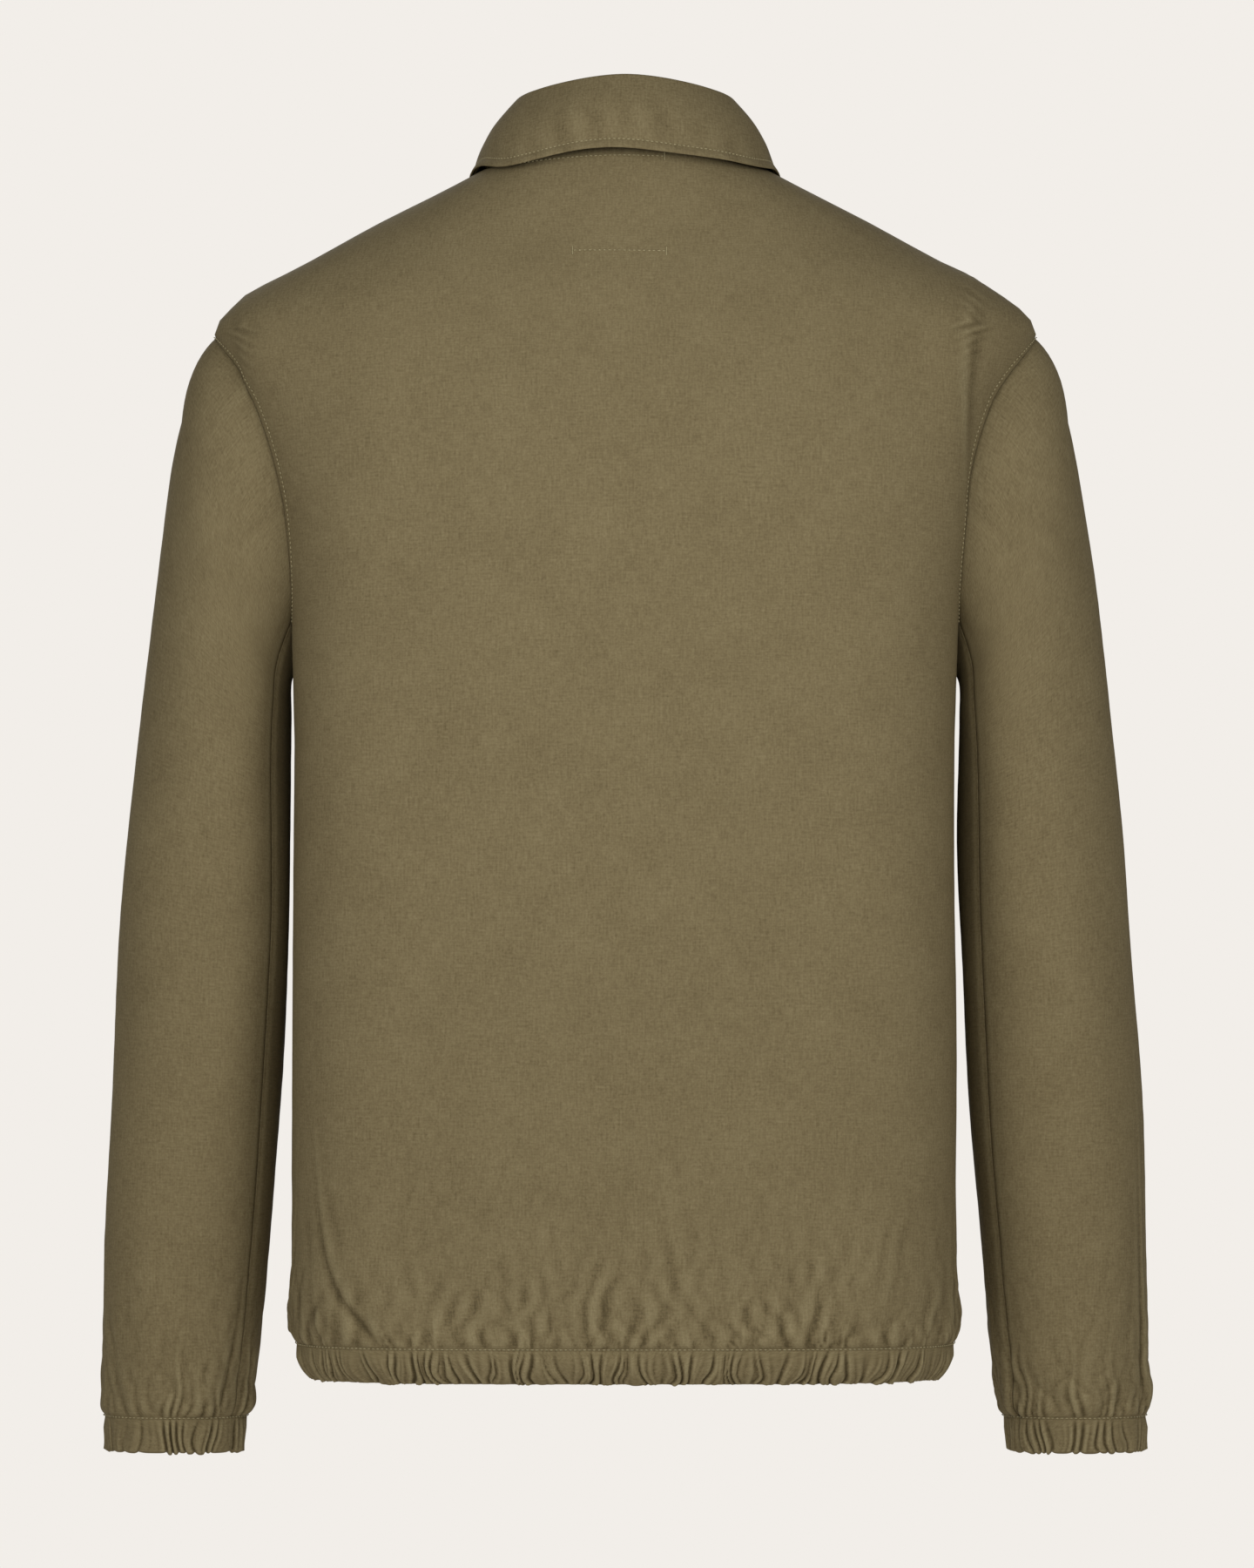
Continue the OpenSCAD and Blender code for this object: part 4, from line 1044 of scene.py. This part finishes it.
canvas_tones = ["#b3af9f", "#cbc7ba", "#d8d4c8", "#e4e0d5", "#eeebe2"]
canvas = cloth_material("woven_interlining", canvas_tones, 0.8)
collar = cloth("collar_fall", 300, 62, collar_place, olive, thickness=0.5)
under_collar = cloth("under_collar", 120, 20, under_place(-2.1, 0.97), olive, thickness=0.5)
interlining = cloth("collar_interlining", 120, 20, under_place(-0.75, 0.85), canvas, 0.2)
stand = cloth("collar_stand", 160, 14, stand_place, olive, thickness=1.2)
for piece, finish, flat, area in (
    (collar, "olive_cotton", (0.47, 0.09), 0.038),
    (under_collar, "olive_cotton", (0.46, 0.06), 0.025),
    (interlining, "interlining", (0.45, 0.06), 0.0215),
    (stand, "olive_cotton", (0.44, 0.04), 0.0145),
):
    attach(piece, "torso")
    stands_for(piece)

# ---- Zip ----
# The front closes with a separating zip of brass teeth, with an antique finish. Here it
# is undone: the slider rests on the box at the foot of the left chain.
# The tape runs from the bead that the teeth sit on, behind the front's edge.
TAPE_START, TAPE_WIDTH, ZIP_TAPE_DEPTH = 10.85, 11, 1.45
ZIP_TAPE_LOW, ZIP_TAPE_TOP = 0.15, 10.75
zip_tones = ["#1f1b13", "#2b261c", "#3a3426", "#48412f", "#575039"]
zip_cloth = cloth_material("woven_zip_tape", zip_tones, 0.6, weave=0.8)
for side, hand in SIDES:
    ends = (ZIP_TAPE_LOW, ZIP_TAPE_TOP)
    place = strip_place(side, TAPE_START + TAPE_WIDTH, TAPE_START, *ends, -ZIP_TAPE_DEPTH)
    tape = cloth(f"zip_tape_{hand}", 10, 150, place, zip_cloth, thickness=0.5)
    flap_blend(tape)
    stands_for(tape)


def brass_material():
    """Brass with a brown-black finish, rubbed back to metal in small worn patches."""
    material, tree = new_material("antique_brass")
    place = node(tree, "ShaderNodeTexCoord")
    # Worn patches are about 1.5 mm across, and the cast grain is 0.3 mm.
    wear = node(
        tree, "ShaderNodeTexNoise", {"Scale": 650.0, "Detail": 4.0}, Vector=place.outputs["Object"]
    )
    grain = node(tree, "ShaderNodeTexNoise", {"Scale": 3300.0}, Vector=place.outputs["Object"])
    colour = node(
        tree,
        "ShaderNodeValToRGB",
        {"stops": [(0.4, "#3d342a"), (0.55, "#6b5a43"), (0.68, "#a58c5f")]},
        Fac=wear.outputs[0],
    )
    gloss = node(
        tree, "ShaderNodeMapRange", {"To Min": 0.5, "To Max": 0.28}, Value=wear.outputs[0]
    )
    bump = node(
        tree, "ShaderNodeBump", {"Strength": 0.2, "Distance": 0.0001}, Height=grain.outputs[0]
    )
    shader = node(
        tree,
        "ShaderNodeBsdfPrincipled",
        {"Metallic": 1.0},
        Base_Color=colour.outputs[0],
        Roughness=gloss.outputs[0],
        Normal=bump.outputs[0],
    )
    node(tree, "ShaderNodeOutputMaterial", Surface=shader.outputs[0])
    return material


brass = brass_material()
ZIP_BEVEL = 0.00018
ZIP_METAL = {
    "zip_teeth_left": "left_front",
    "zip_teeth_right": "right_front",
    "zip_top_stop_left": "left_front",
    "zip_top_stop_right": "right_front",
    "zip_pin": "right_front",
    "zip_box": "left_front",
    "zip_slider": "slider",
    "zip_pull": "pull",
}
for name, moves_with in ZIP_METAL.items():
    bm = bmesh.new()
    bm.from_mesh(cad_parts[name].data)
    bmesh.ops.remove_doubles(bm, verts=bm.verts, dist=1e-6)
    bmesh.ops.dissolve_limit(bm, angle_limit=math.radians(2), verts=bm.verts, edges=bm.edges)
    sharp = [e for e in bm.edges if len(e.link_faces) == 2 and e.calc_face_angle() > 0.6]
    bmesh.ops.bevel(
        bm,
        geom=sharp,
        offset=ZIP_BEVEL,
        segments=2,
        profile=0.5,
        affect="EDGES",
        material=-1,
        clamp_overlap=True,
    )
    metal = add_object(name + "_metal", bm, brass)
    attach(metal, moves_with)
    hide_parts(name)

# ---- Stitching ----
# Every seam is sewn with a polyester thread, at about four stitches to the centimetre. It
# takes less of the dye than the cotton does, so the eye sees a row of paler dots. A stitch
# is drawn about twice as thick as the real one, so that it shows.
STITCH_PITCH, STITCH_LENGTH, THREAD, STITCH_RAISED = 2.7, 1.9, 0.7, 0.3


def thread_material():
    material, tree = new_material("olive_polyester_thread")
    place = node(tree, "ShaderNodeTexCoord")
    # The thread's plies show as flecks about 0.5 mm long.
    ply = node(tree, "ShaderNodeTexNoise", {"Scale": 2000.0}, Vector=place.outputs["Object"])
    colour = node(
        tree,
        "ShaderNodeValToRGB",
        {"stops": [(0.35, "#8f845f"), (0.65, "#b9ae88")]},
        Fac=ply.outputs[0],
    )
    shader = node(
        tree,
        "ShaderNodeBsdfPrincipled",
        {"Roughness": 0.6, "Specular IOR Level": 0.35},
        Base_Color=colour.outputs[0],
    )
    node(tree, "ShaderNodeOutputMaterial", Surface=shader.outputs[0])
    return material


thread = thread_material()


def stitches(name, points, raised, pitch=STITCH_PITCH, length=STITCH_LENGTH):
    """A row of stitches along points in metres, which lie on the cloth. Raised is the
    same row lifted 1 mm."""
    shares, total = even(points)
    count = int(total / MM / pitch)
    middles = (np.arange(count) + 0.5) / count
    bm = bmesh.new()
    for middle in middles:
        half = length * MM / 2 / total
        ends = [
            Vector([np.interp(middle + s, shares, points[:, i]) for i in range(3)])
            for s in (-half, half)
        ]
        top = Vector([np.interp(middle, shares, raised[:, i]) for i in range(3)])
        centre = (ends[0] + ends[1]) / 2
        along = (ends[1] - ends[0]).normalized()
        up = (top - centre).normalized()
        across = along.cross(up).normalized()
        up = across.cross(along)
        size = (length / 2, THREAD / 2, THREAD / 2)
        axes = [a * s * MM for a, s in zip((along, across, up), size)]
        centre += up * STITCH_RAISED * MM
        place = Matrix([[a[i] for a in axes] + [centre[i]] for i in range(3)]).to_4x4()
        bmesh.ops.create_icosphere(bm, subdivisions=1, radius=1, matrix=place)
    for face in bm.faces:
        face.smooth = True
    row = add_object(name, bm, thread)
    return row


def body_row(name, turns, levels, lift=0.0):
    """A row of stitches on the body, at turns and levels."""
    return stitches(name, shell(turns, levels, lift), shell(turns, levels, lift + 1))


front_stop = turn_across(FRONT_EDGE + 2, 1.0, True)[0]
hem_level = 1.004
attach(body_row("hem_stitching_back", np.linspace(-90, 90, 1500), hem_level, 0.5), "torso")
for side, hand in SIDES:
    row = body_row(f"hem_stitching_{hand}", side * np.linspace(90, front_stop, 500), hem_level, 0.5)
    flap_blend(row)

    # The front edge is stitched beside the zip.
    levels = row_level(np.linspace(0.002, 0.99, 500), column=4)
    row = body_row(
        f"front_stitching_{hand}", side * turn_across(FRONT_EDGE + 9, levels, True), levels
    )
    flap_blend(row)

    # The armhole seam is pressed towards the body and stitched 6 mm from it.
    levels = np.linspace(TIP_RING, UNDERARM_RING + 0.4, 300)
    for is_front, part in ((False, "back"), (True, "front")):
        seam = side_turn(levels, is_front)
        inward = 1 if is_front else -1
        step = np.linalg.norm(body(seam + inward, levels) - body(seam, levels), axis=1)
        turns = side * (seam + inward * 6 / step)
        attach(body_row(f"armhole_stitching_{part}_{hand}", turns, levels), "torso")

    # Each cuff is stitched round beside its seam.
    turns = np.linspace(0, 359, 500)
    rows = [skins[side](turns, CUFF_RING - 0.006, lift) for lift in (0.5, 1.5)]
    row = stitches(f"cuff_stitching_{hand}", *rows)
    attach(row, f"{hand}_sleeve")

w = np.linspace(0.18, 9.82, 700)
drop = np.linalg.norm(through(edges, w) - through(folds, w), axis=1)
rows = [(fall(w, 1 - EDGE_STITCH / drop, lift) + SHIFT) * MM for lift in (0.0, 1.0)]
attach(stitches("collar_stitching", *rows), "torso")
for hand, w_end in (("left", 9.82), ("right", 0.18)):
    v = np.linspace(0.08, 1 - EDGE_STITCH / drop[0], 100)
    rows = [(fall(np.full(100, w_end), v, lift) + SHIFT) * MM for lift in (0.0, 1.0)]
    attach(stitches(f"collar_end_stitching_{hand}", *rows), "torso")

# The neck tape and the label are sewn through the back, so their stitching shows on it.
# A bar tack, which is a close row of short stitches, ends each line.
TACK_PITCH, TACK_LENGTH, TACK_HIGH = 0.5, 0.9, 5
for name, left, right, height, tacks in (
    ("neck_stitching", 61, -22.5, 5, (-22.5,)),
    ("label_stitching", 30, -23.5, -50.5, (30, -23.5)),
):
    level = level_at(height)
    turns = turn_across(np.linspace(left, right, 120), np.full(120, level), False)
    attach(body_row(name, turns, np.full(120, level)), "torso")
    for i, x in enumerate(tacks):
        levels = level_at(np.linspace(height - TACK_HIGH / 2, height + TACK_HIGH / 2, 20))
        turns = turn_across(np.full(20, float(x)), levels, False)
        rows = [shell(turns, levels, lift) for lift in (0.0, 1.0)]
        tack = stitches(f"{name}_tack_{i + 1}", *rows, pitch=TACK_PITCH, length=TACK_LENGTH)
        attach(tack, "torso")

# ---- Camera, light and floor ----
# The jacket hangs before a pale wall, seen square from behind, in soft, even light.
FRAME_HEIGHT, SENSOR, LENS = 0.900, 36, 250
FRAME_CENTRE = Vector((-0.001, -0.02, -0.349))
camera_data = bpy.data.cameras.new("camera")
camera_data.lens = LENS
camera_data.sensor_width = SENSOR
camera_data.clip_end = 50
camera = bpy.data.objects.new("camera", camera_data)
camera.location = FRAME_CENTRE + Vector((0, FRAME_HEIGHT / SENSOR * LENS, 0))
camera.rotation_euler = (math.pi / 2, 0, math.pi)
bpy.context.scene.collection.objects.link(camera)
bpy.context.scene.camera = camera
bpy.context.scene.view_settings.view_transform = "Standard"

# The camera sees the wall's colour, and the cloth is lit by a weaker, whiter room.
WALL_COLOUR = "#f2eee9"
AMBIENT = 0.20
world = bpy.data.worlds.new("studio")
bpy.context.scene.world = world
world.use_nodes = True
tree = world.node_tree
tree.nodes.clear()
seen = node(tree, "ShaderNodeBackground", {"Color": linear(WALL_COLOUR), "Strength": 1.0})
lit = node(tree, "ShaderNodeBackground", {"Color": linear("#f6f4f2"), "Strength": AMBIENT})
ray = node(tree, "ShaderNodeLightPath")
both = node(tree, "ShaderNodeMixShader")
tree.links.new(ray.outputs["Is Camera Ray"], both.inputs[0])
tree.links.new(lit.outputs[0], both.inputs[1])
tree.links.new(seen.outputs[0], both.inputs[2])
node(tree, "ShaderNodeOutputWorld", Surface=both.outputs[0])

# A soft light hangs behind the wearer's shoulders, on the camera's side, so that the light
# falls off down the jacket. One at each side fills the sides, and one lights the front.
for name, place, size, power in (
    ("key", (0, 1.0, -0.06), 0.6, 3.2),
    ("left", (-1.3, 1.7, 0.3), 1.0, 14),
    ("right", (1.3, 1.7, 0.3), 1.0, 13),
    ("front_fill", (0.3, -3.0, 0.8), 2.0, 34),
):
    light = bpy.data.lights.new(name, "AREA")
    light.size = size
    light.energy = power
    lamp = bpy.data.objects.new(name, light)
    lamp.location = place
    lamp.visible_camera = False
    lamp.rotation_euler = (Vector(place) - FRAME_CENTRE).to_track_quat("Z", "Y").to_euler()
    bpy.context.scene.collection.objects.link(lamp)

FLOOR_Z, FLOOR_SIZE = -0.96, 2.6
bm = bmesh.new()
bmesh.ops.create_grid(bm, x_segments=1, y_segments=1, size=FLOOR_SIZE / 2)
bmesh.ops.translate(bm, verts=bm.verts, vec=(0, 0, FLOOR_Z))
paint = bpy.data.materials.new("pale_matt_paint")
paint.use_nodes = True
paint.node_tree.nodes["Principled BSDF"].inputs["Base Color"].default_value = linear(WALL_COLOUR)
paint.node_tree.nodes["Principled BSDF"].inputs["Roughness"].default_value = 0.9
add_object("floor", bm, paint)
